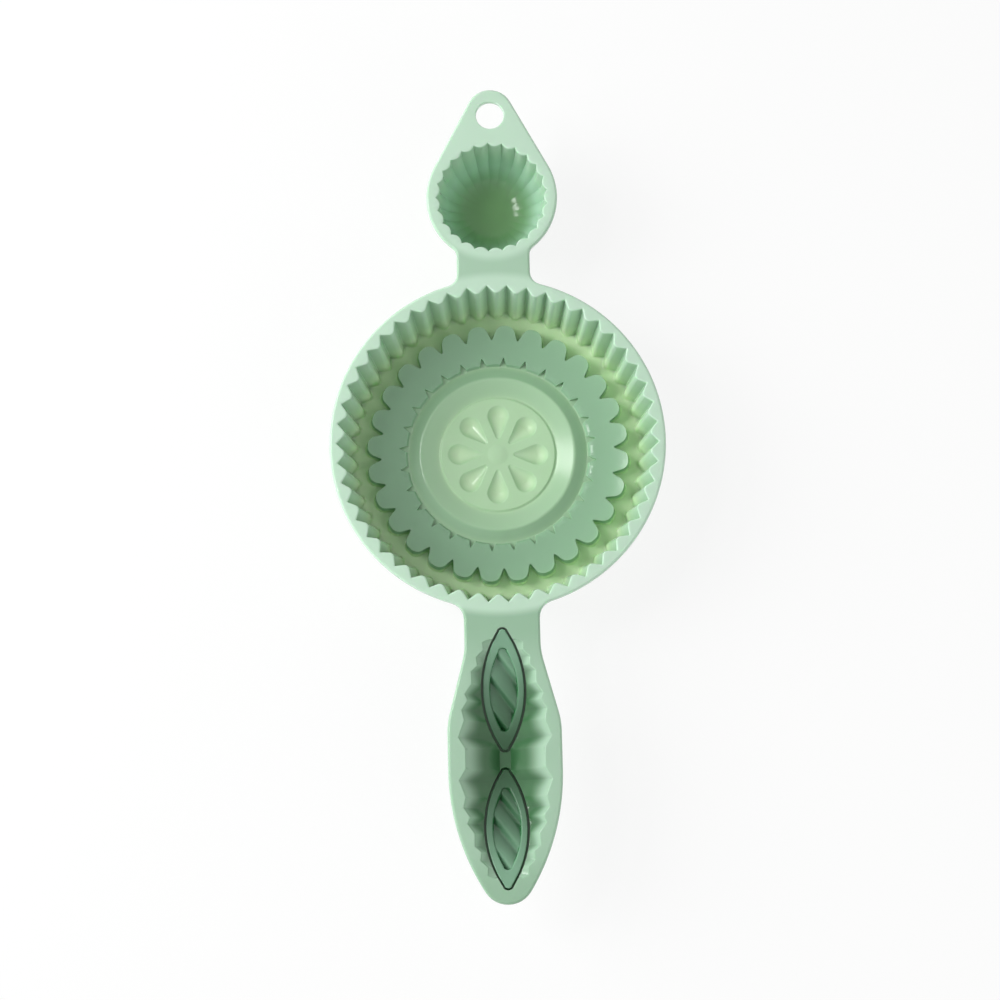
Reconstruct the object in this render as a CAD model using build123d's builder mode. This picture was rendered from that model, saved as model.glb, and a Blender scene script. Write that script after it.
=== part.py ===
"""Paddle mould for moon cakes: a fluted dish, a small fluted cup and a leaf trough in the handle.

Millimetres, +Z up with the moulds open upwards. The origin is the centre of the dish on the
plane that the paddle rests on. +Y runs to the small cup and its hanging tab, -Y to the handle.
The paddle is one thin-walled moulding. It is held here as four sections that meet face to
face across the plate, and two leaf inserts are pressed into pockets of the trough.
Turns are degrees clockwise from +Y, seen from above.
"""
import os
from math import atan, atan2, cos, degrees, radians, sin, sqrt, tan

from build123d import *

os.makedirs("parts", exist_ok=True)

# Plate and walls
wall = 2.0
plate_thickness = 2.2
plate_edge_round = 0.9

# Dish
dish_plate_radius = 55.0
dish_depth = 24.5
flute_count = 50
flute_turn = 4.6
flute_tip_radius = 52.7
flute_rib_radius = 49.6
flute_rib_round = 1.6
flute_draft = 8.0

# Ring of lobes that stands up from the moat of the dish, heights above the moat
lobe_count = 28
lobe_turn = -1.7
lobe_radius = 43.4
lobe_notch_radius = 38.3
lobe_notch_half_width = 2.3
lobe_round = 3.0
lobe_draft = 8.0
crest_height = 6.0
ring_inner_radius = 30.6
ring_inner_height = 3.4
ring_sag = 0.8
nick_depth = 2.2
nick_half_width = 1.0

# Valley, conical ring and centre disc, heights above the moat
valley_radius = 29.4
valley_height = 2.2
band_radius = 25.6
band_height = 4.0
band_round = 1.5
cone_foot_radius = 19.7
cone_foot_height = 1.9
disc_radius = 19.2
disc_height = 2.7
hub_radius = 3.8
hub_rise = 0.4

# Petals sunk in the disc
petal_count = 8
petal_turn = 1.4
petal_outer_reach = 16.7
petal_inner_reach = 5.2
petal_wide_half = 3.6
petal_narrow_half = 0.8
petal_depth = 1.7
petal_narrow_depth = 0.35

# Small cup
cup_centre_y = 82.8
cup_plate_radius = 21.7
cup_flute_count = 25
cup_flute_turn = -2.7
cup_tip_radius = 18.5
cup_rib_depth = 1.15
cup_depth = 22.0
cup_floor_radius = 8.2
cup_bands = 5
cup_rib_left = 0.1
cup_neck_width = 24.1
cup_neck_fillet = 4.2
cup_corner_fillet = 3.2

# Hanging tab
tab_radius = 7.8
tab_end_y = 119.7
hang_hole_radius = 4.6
hang_hole_y = 110.8

# Handle
neck_width = 24.6
neck_fillet = 5.5
neck_end_y = -68.7
shoulder_y = -91.5
shoulder_round = 25.0
handle_half_width = 18.4
handle_side_start_y = -107.0
handle_side_radius = 72.8
handle_tip_radius = 8.6

# Trough in the handle, places along it measured from its middle
trough_middle_y = -103.0
trough_half_width = 15.05
trough_side_radius = 84.3
trough_depth = 9.0
trough_keel_half = 1.3
trough_foot_half = 1.8
trough_foot_margin = 0.4
trough_end = 38.2
trough_floor_end = 41.6
belly_swell = 0.3
belly_margin = 1.2
belly_places = (1.3, 12.0, 22.0, 32.0)
groove_places = (6.85, 15.7, 20.8, 28.0, 32.6, 37.3)
rib_places = (3.35, 12.3, 18.7, 24.0, 29.9, 34.8)
middle_rib_height = 2.4
rib_height = 1.4

# Leaf inserts
leaf_length = 39.6
leaf_width = 13.6
leaf_tip_round = 1.6
leaf_thickness = 2.2
leaf_clearance = 0.3
leaf_edge_round = 0.4
panel_length = 27.0
panel_width = 9.0
panel_depth = 0.5
ridge_pitch = 5.7
ridge_height = 1.1
ridge_turn = 45.0
ridge_count = 6

# Heights, draws and splits worked out from the sizes above
moat = wall
plate_top = moat + dish_depth
plate_bottom = plate_top - plate_thickness
neck_half = neck_width / 2
cup_neck_half = cup_neck_width / 2
tab_centre_y = tab_end_y - tab_radius
cup_split_y = (dish_plate_radius + cup_centre_y - cup_plate_radius) / 2
tab_split_y = cup_centre_y + cup_tip_radius + 2 * wall
handle_split_y = -dish_plate_radius - wall


def polar(radius, turn):
    """Point at a radius, turned clockwise from +Y."""
    return radius * sin(radians(turn)), radius * cos(radians(turn))


def draw(depth, angle):
    """How far a drafted wall leans over a depth."""
    return depth * tan(radians(angle))


def zigzag(height, count, turn, tip, rib, tip_round, rib_round):
    """Face with flutes: tips point outwards, ribs between them inwards, 0 leaves one sharp."""
    step = 360 / count
    corners = []
    for index in range(count):
        corners.append(polar(tip, turn + index * step))
        corners.append(polar(rib, turn + (index + 0.5) * step))
    with BuildSketch(Plane.XY.offset(height)) as face:
        with BuildLine():
            FilletPolyline(*corners, radius=[tip_round, rib_round] * count, close=True)
        make_face()
    return face.sketch


def half_flank(count, tip, rib):
    """Half of the angle between two flanks that meet at a tip or at a rib, in radians."""
    sideways = (tip + rib) / 2 * sin(radians(180 / count))
    return atan(sideways / (tip - rib))


# Plate: the outlines of dish, cup, tab and handle with their necks
side_centre_x = handle_half_width - handle_side_radius
tip_drop = sqrt((handle_side_radius - handle_tip_radius) ** 2 - side_centre_x**2)
side_sweep = degrees(atan2(tip_drop, -side_centre_x))
handle_end_y = handle_side_start_y - tip_drop - handle_tip_radius

with BuildPart() as plate:
    with BuildSketch(Plane.XY.offset(plate_bottom)) as outline:
        with BuildLine():
            CenterArc((0, cup_centre_y), cup_plate_radius, 0, 360)
            CenterArc((0, tab_centre_y), tab_radius, 0, 360)
        make_hull()
        Circle(dish_plate_radius)
        with Locations((0, cup_split_y)):
            Rectangle(cup_neck_width, cup_centre_y - dish_plate_radius)
        with BuildLine():
            FilletPolyline(
                (0, 0),
                (neck_half, 0),
                (neck_half, neck_end_y),
                (handle_half_width, shoulder_y),
                (handle_half_width, handle_side_start_y),
                radius=[0, shoulder_round, shoulder_round],
            )
            CenterArc((side_centre_x, handle_side_start_y), handle_side_radius, 0, -side_sweep)
            CenterArc(
                (0, handle_side_start_y - tip_drop), handle_tip_radius, -side_sweep, side_sweep - 90
            )
            mirror(about=Plane.YZ)
        make_face()
        corners = outline.vertices().filter_by_position(Axis.X, -neck_half, neck_half)
        handle_corners = corners.filter_by_position(Axis.Y, -dish_plate_radius, 0)
        fillet(handle_corners, neck_fillet)
        corners = outline.vertices().filter_by_position(Axis.X, -cup_neck_half, cup_neck_half)
        fillet(corners.filter_by_position(Axis.Y, 0, dish_plate_radius), cup_neck_fillet)
        corners = outline.vertices().filter_by_position(Axis.X, -cup_neck_half, cup_neck_half)
        fillet(corners.filter_by_position(Axis.Y, cup_split_y, cup_centre_y), cup_corner_fillet)
    extrude(amount=plate_thickness)
    fillet(plate.faces().sort_by(Axis.Z)[-1].outer_wire().edges(), plate_edge_round)


def plate_between(low_y, high_y):
    """Stretch of the plate between two splits."""
    with BuildPart() as stretch:
        add(plate.part)
        with BuildSketch(Plane.XY.offset(plate_bottom)):
            with Locations((0, (low_y + high_y) / 2)):
                Rectangle(2 * dish_plate_radius, high_y - low_y)
        extrude(amount=plate_thickness, mode=Mode.INTERSECT)
    return stretch.part


# Petals: each is two unequal balls and the cone between them, sunk in the disc
disc_top = moat + disc_height


def ball_radius(half_width, depth):
    """Ball that leaves a dimple of this half width and depth."""
    return (half_width**2 + depth**2) / (2 * depth)


def petal_form(grow):
    """All petals as solids, grown outwards by a wall."""
    narrow_ball = ball_radius(petal_narrow_half, petal_narrow_depth)
    wide_ball = ball_radius(petal_wide_half, petal_depth)
    narrow_x = petal_inner_reach + petal_narrow_half
    wide_x = petal_outer_reach - petal_wide_half
    narrow_z = disc_top - petal_narrow_depth + narrow_ball
    wide_z = disc_top - petal_depth + wide_ball
    span = sqrt((wide_x - narrow_x) ** 2 + (wide_z - narrow_z) ** 2)
    lean = (wide_ball - narrow_ball) / span
    level = sqrt(1 - lean**2)
    narrow = narrow_ball + grow
    wide = wide_ball + grow
    along = Plane(
        origin=(narrow_x, 0, narrow_z),
        x_dir=(wide_x - narrow_x, 0, wide_z - narrow_z),
        z_dir=(0, -1, 0),
    )
    with BuildPart() as petal:
        with BuildSketch(along):
            with BuildLine():
                back = CenterArc((0, 0), narrow, 180, -degrees(atan2(level, lean)))
                Line(back @ 1, (span - wide * lean, wide * level))
                nose = CenterArc((span, 0), wide, 0, 180 - degrees(atan2(level, lean)))
                Line(nose @ 0, back @ 0)
            make_face()
        revolve(axis=Axis((narrow_x, 0, narrow_z), along.x_dir))
    with BuildPart() as petals:
        with PolarLocations(0, petal_count, start_angle=90 - petal_turn):
            add(petal.part)
    return petals.part


# Relief: what stands up from the moat floor inside the ring of lobes
def relief_profile(lower):
    """Half section of the relief, lowered by a wall for the hollow under it."""
    base = moat - lower
    with BuildSketch(Plane.XZ) as section:
        with BuildLine():
            inner = Polyline(
                (0, base - wall),
                (0, base + disc_height + hub_rise),
                (hub_radius - hub_rise, base + disc_height + hub_rise),
                (hub_radius, base + disc_height),
                (disc_radius, base + disc_height),
                (cone_foot_radius, base + cone_foot_height),
            )
            band = FilletPolyline(
                inner @ 1,
                (band_radius, base + band_height),
                (valley_radius, base + valley_height),
                radius=band_round,
            )
            edge = Line(band @ 1, (ring_inner_radius, base + ring_inner_height))
            middle = (ring_inner_radius + lobe_radius) / 2
            middle_height = (ring_inner_height + crest_height) / 2 - ring_sag
            ring = ThreePointArc(
                edge @ 1, (middle, base + middle_height), (lobe_radius, base + crest_height)
            )
            Polyline(
                ring @ 1,
                (dish_plate_radius, base + crest_height),
                (dish_plate_radius, base - wall),
                (0, base - wall),
            )
        make_face()
    return section.sketch


def lobe_face(height, grow):
    """Outline of the ring of lobes at a height, grown by its draft."""
    step = 360 / lobe_count
    half_mouth = degrees(lobe_notch_half_width / lobe_radius)
    corners = []
    for index in range(lobe_count):
        turn = lobe_turn + index * step
        corners.append(polar(lobe_notch_radius + grow, turn))
        corners.append(polar(lobe_radius + grow, turn + half_mouth))
        corners.append(polar(lobe_radius + grow, turn + step - half_mouth))
    with BuildSketch(Plane.XY.offset(height)) as face:
        with BuildLine():
            FilletPolyline(
                *corners, radius=[0, lobe_round, lobe_round] * lobe_count, close=True
            )
        make_face()
    return face.sketch


crest = moat + crest_height
nick_turn = lobe_turn + 180 / lobe_count
nick_back = nick_half_width * (1 + (ring_inner_radius - valley_radius) / nick_depth)

with BuildPart() as relief:
    add(relief_profile(0))
    revolve(axis=Axis.Z)
    loft(
        [lobe_face(0, draw(crest, lobe_draft)), lobe_face(crest, 0)],
        ruled=True,
        mode=Mode.INTERSECT,
    )
    with BuildSketch(Plane.XY.offset(moat + valley_height)):
        with PolarLocations(0, lobe_count, start_angle=90 - nick_turn):
            Polygon(
                (ring_inner_radius + nick_depth, 0),
                (valley_radius, nick_back),
                (valley_radius, -nick_back),
                align=None,
            )
    extrude(amount=crest_height, mode=Mode.SUBTRACT)
    add(petal_form(0), mode=Mode.SUBTRACT)

# Hollow under the relief, one wall inside it
lobe_flank = half_flank(lobe_count, lobe_radius, lobe_notch_radius)
hollow_notch = lobe_notch_radius - wall / sin(lobe_flank)
hollow_tip = lobe_radius - wall
hollow_lean = draw(crest + wall, lobe_draft)
hollow_foot = hollow_tip + hollow_lean, hollow_notch + hollow_lean

with BuildPart() as hollow:
    add(relief_profile(wall))
    revolve(axis=Axis.Z)
    loft(
        [
            zigzag(-wall, lobe_count, nick_turn, *hollow_foot, 0, 0),
            zigzag(crest, lobe_count, nick_turn, hollow_tip, hollow_notch, 0, 0),
        ],
        ruled=True,
        mode=Mode.INTERSECT,
    )
    add(petal_form(wall), mode=Mode.SUBTRACT)


# Cake dish: the big fluted mould
flute_flank = half_flank(flute_count, flute_tip_radius, flute_rib_radius)


def flutes(height, grow, tip_round, rib_round):
    """Face of the dish's flutes at a height, grown outwards and drawn in with their draft."""
    out = grow / sin(flute_flank) - draw(plate_top - height, flute_draft)
    tip = flute_tip_radius + out
    rib = flute_rib_radius + out
    return zigzag(height, flute_count, flute_turn, tip, rib, tip_round, rib_round)


with BuildPart() as cake_dish:
    add(plate_between(handle_split_y, cup_split_y))
    loft([flutes(0, wall, wall, 0), flutes(plate_bottom, wall, wall, 0)], ruled=True)
    loft(
        [flutes(moat, 0, 0, flute_rib_round), flutes(plate_top, 0, 0, flute_rib_round)],
        ruled=True,
        mode=Mode.SUBTRACT,
    )
    add(relief.part)
    add(hollow.part, mode=Mode.SUBTRACT)


# Small cup: 25 scallops that fade towards a round floor
def scallops(height, tip, rib_depth):
    """Face with sharp outward tips and a round rib bulging inwards between each two."""
    step = 360 / cup_flute_count
    with BuildSketch(Plane((0, cup_centre_y, height))) as face:
        with BuildLine():
            for index in range(cup_flute_count):
                turn = cup_flute_turn + index * step
                ThreePointArc(
                    polar(tip, turn), polar(tip - rib_depth, turn + step / 2), polar(tip, turn + step)
                )
        make_face()
    return face.sketch


def cup_form(grow, depth_grow, rib_depth):
    """Inside of the cup, or its outside when it is grown by a wall."""
    sections = []
    for band in range(cup_bands + 1):
        angle = radians(90 * band / cup_bands)
        tip = cup_floor_radius + (cup_tip_radius + grow - cup_floor_radius) * cos(angle)
        height = plate_top - (cup_depth + depth_grow) * sin(angle)
        sections.append(scallops(height, tip, rib_depth * (cos(angle) + cup_rib_left)))
    with BuildPart() as form:
        loft(sections, ruled=True)
    return form.part


with BuildPart() as small_cup:
    add(plate_between(cup_split_y, tab_split_y))
    add(cup_form(wall, wall, cup_rib_depth / 2))
    add(cup_form(0, 0, cup_rib_depth), mode=Mode.SUBTRACT)

# Hanging tab
with BuildPart() as hanging_tab:
    add(plate_between(tab_split_y, tab_end_y))
    with Locations((0, hang_hole_y, plate_top)):
        Hole(hang_hole_radius)

# Leaf inserts: a lens with a raised rim round a panel of slanting ridges
floor_slope = degrees(atan(trough_depth / trough_floor_end))
floor_rise = trough_depth / trough_floor_end
leaf_middle = trough_floor_end - leaf_length / 2 * cos(radians(floor_slope))


def lens(length, width, tip_round):
    """Leaf outline of two arcs with rounded tips, lying along Y."""
    half_tip = 2 * atan(width / length)
    length = length + 2 * tip_round * (1 / sin(half_tip) - 1)
    with BuildSketch() as face:
        with BuildLine():
            ThreePointArc((0, -length / 2), (width / 2, 0), (0, length / 2))
            mirror(about=Plane.YZ)
        make_face()
        fillet(face.vertices(), tip_round)
    return face.sketch


def leaf_plane(side):
    """Plane of a leaf on the sloping floor: side 1 is at the dish end, -1 at the tip end."""
    tilt = radians(floor_slope) * side
    height = plate_top - (trough_floor_end - leaf_middle) * floor_rise
    return Plane(
        origin=(0, trough_middle_y + side * leaf_middle, height),
        x_dir=(1, 0, 0),
        z_dir=(0, -sin(tilt), cos(tilt)),
    )


ridge_plane = Plane(
    origin=(0, 0, 0),
    x_dir=(cos(radians(ridge_turn)), sin(radians(ridge_turn)), 0),
    z_dir=(sin(radians(ridge_turn)), -cos(radians(ridge_turn)), 0),
)

with BuildPart() as panel:
    with BuildSketch(ridge_plane):
        with BuildLine():
            crests = []
            for index in range(-ridge_count, ridge_count + 1):
                crests.append((index * ridge_pitch / 2, -panel_depth - (index % 2) * ridge_height))
            Polyline(*crests, (crests[-1][0], wall), (crests[0][0], wall), close=True)
        make_face()
    extrude(amount=leaf_length, both=True)
    panel_outline = lens(panel_length, panel_width, leaf_tip_round)
    extrude(panel_outline, amount=leaf_thickness, both=True, mode=Mode.INTERSECT)

with BuildPart() as leaf:
    add(lens(leaf_length, leaf_width, leaf_tip_round))
    extrude(amount=-leaf_thickness)
    fillet(leaf.faces().sort_by(Axis.Z)[-1].edges(), leaf_edge_round)
    add(panel.part, mode=Mode.SUBTRACT)

with BuildPart() as pocket:
    grow = 2 * leaf_clearance
    add(lens(leaf_length + grow, leaf_width + grow, leaf_tip_round + leaf_clearance))
    extrude(amount=-leaf_thickness)
    add(lens(leaf_length + grow, leaf_width + grow, leaf_tip_round + leaf_clearance))
    extrude(amount=trough_depth)

with BuildPart(leaf_plane(1)) as leaf_insert_dish_end:
    add(leaf.part)

with BuildPart(leaf_plane(-1)) as leaf_insert_tip_end:
    add(leaf.part)


# Handle: the plate with the serrated trough hanging under it
def envelope(place):
    """Half width of the smooth boat outline at a place along the trough."""
    return trough_half_width - trough_side_radius + sqrt(trough_side_radius**2 - place**2)


def leaf_half(place):
    """Half width of a leaf at a place along the trough."""
    along = (abs(place) - leaf_middle) / cos(radians(floor_slope))
    side_radius = (leaf_length**2 + leaf_width**2) / (4 * leaf_width)
    return leaf_width / 2 - side_radius + sqrt(side_radius**2 - along**2)


def foot_half(place):
    """Half width of the trough's floor, which is hardly wider than the leaf on it."""
    return max(leaf_half(place) + leaf_clearance + trough_foot_margin, trough_foot_half)


def floor_height(place):
    """Height of the trough's floor, which slopes down from both ends to a short keel."""
    return plate_top - trough_depth + max(abs(place), trough_keel_half) * floor_rise


def cross_section(place, top_half, top, low_half, low):
    """Face across the handle with sloping sides."""
    across = Plane((0, trough_middle_y + place, 0), x_dir=(1, 0, 0), z_dir=(0, -1, 0))
    with BuildSketch(across) as face:
        Polygon((-top_half, top), (top_half, top), (low_half, low), (-low_half, low), align=None)
    return face.sketch


def both_ways(stations):
    """Stations from one end of the trough to the other, given those of one half."""
    return sorted([(-place, half) for place, half in stations] + stations)


serrations = [(place, envelope(place)) for place in groove_places]
for index, place in enumerate(rib_places):
    serrations.append((place, envelope(place) - (rib_height if index else middle_rib_height)))
serrations.append((trough_end, envelope(trough_end) - rib_height))
serrations.append((trough_keel_half, envelope(rib_places[0]) - middle_rib_height))

with BuildPart() as trough:
    sections = []
    for place, half in both_ways(serrations):
        sections.append(cross_section(place, half, plate_top, foot_half(place), floor_height(place)))
    loft(sections, ruled=True)

belly_drop = (leaf_thickness + wall) / cos(radians(floor_slope))
belly_end = trough_floor_end + leaf_clearance + wall
belly_stations = [(place, envelope(place)) for place in (*belly_places, trough_floor_end, belly_end)]

with BuildPart() as belly:
    sections = []
    for place, half in both_ways(belly_stations):
        keel = floor_height(place) - belly_drop
        low_half = foot_half(min(abs(place), trough_floor_end)) + belly_margin - trough_foot_margin
        sections.append(cross_section(place, half + belly_swell, plate_bottom, low_half, keel))
    loft(sections, ruled=True)

with BuildPart() as handle:
    add(plate_between(handle_end_y, handle_split_y))
    add(belly.part)
    add(trough.part, mode=Mode.SUBTRACT)
    with Locations(leaf_plane(1), leaf_plane(-1)):
        add(pocket.part, mode=Mode.SUBTRACT)

cake_dish.part.label = "cake_dish"
export_step(cake_dish.part, "parts/cake_dish.step")

small_cup.part.label = "small_cup"
export_step(small_cup.part, "parts/small_cup.step")

hanging_tab.part.label = "hanging_tab"
export_step(hanging_tab.part, "parts/hanging_tab.step")

handle.part.label = "handle"
export_step(handle.part, "parts/handle.step")

leaf_insert_dish_end.part.label = "leaf_insert_dish_end"
export_step(leaf_insert_dish_end.part, "parts/leaf_insert_dish_end.step")

leaf_insert_tip_end.part.label = "leaf_insert_tip_end"
export_step(leaf_insert_tip_end.part, "parts/leaf_insert_tip_end.step")
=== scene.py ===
# %% [markdown]
# # A paddle mould for moon cakes
#
# The real thing is one shell of pale green plastic, held like a small frying pan. Its round
# dish shapes a large fluted cake, the small cup beyond it shapes a small one, and the handle is
# itself a boat-shaped mould with two leaves pressed into its floor.
#
# The solids of the part are loaded first. They give the frame that everything below stands in:
# metres, +Z up, the dish's centre on the floor at the origin, the handle towards -Y.

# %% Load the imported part
from math import atan, atan2, cos, degrees, pi, radians, sin, sqrt, tan

import bmesh
import bpy
import numpy as np
from mathutils import Matrix, Vector
from mathutils.geometry import delaunay_2d_cdt


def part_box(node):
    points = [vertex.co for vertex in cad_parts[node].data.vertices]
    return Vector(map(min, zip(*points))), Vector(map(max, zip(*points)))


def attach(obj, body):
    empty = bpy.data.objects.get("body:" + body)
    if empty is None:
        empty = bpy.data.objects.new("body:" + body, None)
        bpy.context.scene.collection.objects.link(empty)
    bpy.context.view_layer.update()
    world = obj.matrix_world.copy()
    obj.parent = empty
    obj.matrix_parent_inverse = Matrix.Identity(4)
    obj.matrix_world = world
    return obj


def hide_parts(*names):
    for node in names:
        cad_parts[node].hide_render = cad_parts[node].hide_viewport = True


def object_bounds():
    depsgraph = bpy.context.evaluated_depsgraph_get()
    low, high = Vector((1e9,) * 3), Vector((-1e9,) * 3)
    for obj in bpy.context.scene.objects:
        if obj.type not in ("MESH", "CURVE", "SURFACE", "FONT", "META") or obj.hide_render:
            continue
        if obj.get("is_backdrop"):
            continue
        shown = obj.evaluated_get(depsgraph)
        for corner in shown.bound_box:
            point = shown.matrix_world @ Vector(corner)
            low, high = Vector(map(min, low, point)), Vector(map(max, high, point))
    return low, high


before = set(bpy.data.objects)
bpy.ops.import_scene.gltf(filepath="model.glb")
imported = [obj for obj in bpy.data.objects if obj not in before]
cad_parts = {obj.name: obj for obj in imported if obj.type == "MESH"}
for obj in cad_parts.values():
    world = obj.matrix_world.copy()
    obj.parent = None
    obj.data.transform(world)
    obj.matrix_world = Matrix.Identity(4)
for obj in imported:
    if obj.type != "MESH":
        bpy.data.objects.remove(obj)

cad_low, cad_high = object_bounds()
print("nodes:", sorted(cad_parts))
print("solids reach from", tuple(cad_low), "to", tuple(cad_high))

# %% [markdown]
# ## Camera
#
# The photograph looks down into the moulds from a little below the handle, through a long lens,
# so the dish is nearly a circle and the near walls hide behind the plate's edge. The camera
# stands where the plate's outline, the cup and the hole fall on their places in the picture. It
# is made before the object, because every shape is judged through it.

# %% Camera
mm = 0.001
aim = Vector((0.33, -19.2, 26.5)) * mm
eye = Vector((0.33, -181.4, 965.6)) * mm
roll = radians(1.38)
lens_millimetres = 105.5
sensor_millimetres = 36.0

camera_data = bpy.data.cameras.new("camera")
camera_data.lens = lens_millimetres
camera_data.sensor_width = sensor_millimetres
camera = bpy.data.objects.new("camera", camera_data)
bpy.context.scene.collection.objects.link(camera)
bpy.context.scene.camera = camera

back = (eye - aim).normalized()
right = Vector((sin(roll), cos(roll), 0)).cross(back).normalized()
up = back.cross(right)
turn = Matrix((right, up, back)).transposed()
camera.matrix_world = Matrix.Translation(eye) @ turn.to_4x4()
print("camera tilts", round(degrees(back.angle(Vector((0, 0, 1)))), 1), "degrees from straight down")

# %% [markdown]
# ## Writing materials as sums
#
# A material is a graph of nodes, but what it says is often a sum: noise times a little, plus a
# depth. The class below wraps a socket so that such sums are written as Python, and each
# operator adds the Math node that it stands for. Every other node comes from one method.


# %% A wire that can be added and multiplied
class Wire:
    """A value on its way through a material; an operator on it adds a Math node."""

    def __init__(self, bench, socket):
        self.bench = bench
        self.socket = socket

    def math(self, operation, *values):
        """Adds a Math node."""
        return self.bench.node("ShaderNodeMath", {"operation": operation}, dict(enumerate(values)))

    def __add__(self, other):
        return self.math("ADD", self, other)

    __radd__ = __add__

    def __mul__(self, other):
        return self.math("MULTIPLY", self, other)

    __rmul__ = __mul__

    def __sub__(self, other):
        return self.math("SUBTRACT", self, other)

    def __rsub__(self, other):
        return self.math("SUBTRACT", other, self)

    def __truediv__(self, other):
        return self.math("DIVIDE", self, other)

    def __rtruediv__(self, other):
        return self.math("DIVIDE", other, self)

    def largest(self, other):
        """The larger of two values, which joins two masks."""
        return self.math("MAXIMUM", self, other)

    def away_from(self, other):
        """How far the value lies from another, on either side."""
        return self.math("ABSOLUTE", self - other)

    def ramp(self, low, high):
        """0 below low, 1 above high, smooth between."""
        settings = {"interpolation_type": "SMOOTHSTEP", "clamp": True}
        return self.bench.node("ShaderNodeMapRange", settings, {0: self, 1: low, 2: high})


class Bench:
    """The node tree of a material, or of the world."""

    def __init__(self, owner):
        owner.use_nodes = True
        self.owner = owner
        self.tree = owner.node_tree
        self.tree.nodes.clear()

    def node(self, kind, settings=None, sockets=None, out=0):
        """Adds a node: its settings first, then the values or wires of its sockets."""
        made = self.tree.nodes.new(kind)
        for name, value in (settings or {}).items():
            setattr(made, name, value)
        for key, value in (sockets or {}).items():
            if isinstance(value, Wire):
                self.tree.links.new(value.socket, made.inputs[key])
            else:
                made.inputs[key].default_value = value
        return Wire(self, made.outputs[out]) if made.outputs else None

    def axis(self, vector, letter):
        """One of a vector's three values, by its letter."""
        return self.node("ShaderNodeSeparateXYZ", None, {0: vector}, out="XYZ".index(letter))

    def tint(self, share, low, high):
        """Mixes two colours by a share."""
        return self.node("ShaderNodeMix", {"data_type": "RGBA"}, {0: share, 6: low, 7: high}, out=2)

    def noise(self, where, scale, detail):
        """Cloudy noise; scale is in features for each metre."""
        sockets = {"Vector": where, "Scale": scale, "Detail": detail}
        return self.node("ShaderNodeTexNoise", None, sockets)

    def background_rays(self):
        """1 for what the camera sees, directly, mirrored or through glass; 0 for light."""
        seen, mirrored, through = (
            self.node("ShaderNodeLightPath", out=place) for place in (0, 3, 6)
        )
        return seen.largest(mirrored).largest(through)


print("wires and benches are ready")

# %% [markdown]
# ## Floor, world and lamps
#
# The picture is a plain product shot on white. The floor could be lit until it clips, but that
# would bleach the object too. So it is a pale matt plane that takes the object's shadow, with a
# share of glow that only the camera, mirrors and glass can see.

# %% Floor
floor_half = 4.0
floor_corners = [(-1, -1), (1, -1), (1, 1), (-1, 1)]
floor_points = [(x * floor_half, y * floor_half, 0) for x, y in floor_corners]
floor_mesh = bpy.data.meshes.new("floor")
floor_mesh.from_pydata(floor_points, [], [(0, 1, 2, 3)])
floor = bpy.data.objects.new("floor", floor_mesh)
bpy.context.scene.collection.objects.link(floor)
floor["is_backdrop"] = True

white = (1.0, 1.0, 1.0, 1.0)
floor_pale = (0.86, 0.87, 0.86, 1.0)
floor_glow_share = 0.86
bench = Bench(bpy.data.materials.new("pale_floor"))
matt = bench.node("ShaderNodeBsdfDiffuse", None, {"Color": floor_pale})
glow = bench.node("ShaderNodeEmission", None, {"Color": white, "Strength": 1.0})
share = bench.background_rays() * floor_glow_share
mixed = bench.node("ShaderNodeMixShader", None, {0: share, 1: matt, 2: glow})
bench.node("ShaderNodeOutputMaterial", None, {"Surface": mixed})
floor_mesh.materials.append(bench.owner)
print("floor spans", 2 * floor_half, "metres")

# %% [markdown]
# The world stands for the white tent round such a shot. It is darker overhead than at the
# horizon, which keeps the floors of the moulds deeper in tone than the plate, and brighter at
# the sides than at the two ends, which lights the walls that face left and right. The camera,
# mirrors and glass see plain white in its place.

# %% World
overhead = 0.13
horizon = 0.64
ends_share = 0.7
sides_share = 1.9
bench = Bench(bpy.data.worlds.new("studio"))
bpy.context.scene.world = bench.owner
direction = bench.node("ShaderNodeTexCoord", out=0)
sideways = bench.axis(direction, "X")
upward = bench.axis(direction, "Z")
around = ends_share + sideways * sideways * (sides_share - ends_share)
tent = (horizon + upward.largest(0.0) * (overhead - horizon)) * around
shown = bench.background_rays()
strength = shown + (1 - shown) * tent
sky = bench.node("ShaderNodeBackground", None, {"Color": white, "Strength": strength})
bench.node("ShaderNodeOutputWorld", None, {"Surface": sky})
bpy.context.scene.view_settings.view_transform = "Standard"
print("the world lights a flat plate with about", round((horizon + 2 * overhead) / 3, 2))

# %% [markdown]
# The light comes from the left. The key lamp hangs there, a little towards the cup, and is the
# only lamp that the plastic mirrors: its reflection is the bright patch on the right of the
# conical ring. A larger lamp stands low at the left and lights the walls that face it. Two weak
# ones at the right, towards the handle, keep the shadows from closing.


# %% Lamps
def softbox(name, turn, tilt, distance, size, power, mirrored):
    """Soft lamp aimed at the dish: turned clockwise from +Y, tilted from straight above."""
    data = bpy.data.lights.new(name, "AREA")
    data.shape = "RECTANGLE"
    data.size, data.size_y = size
    data.energy = power
    lamp = bpy.data.objects.new(name, data)
    across = sin(radians(tilt))
    away = Vector((across * sin(radians(turn)), across * cos(radians(turn)), cos(radians(tilt))))
    lamp.location = aim + away * distance
    lamp.rotation_mode = "QUATERNION"
    lamp.rotation_quaternion = away.to_track_quat("Z", "Y")
    lamp.visible_glossy = mirrored
    bpy.context.scene.collection.objects.link(lamp)
    return lamp


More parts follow.
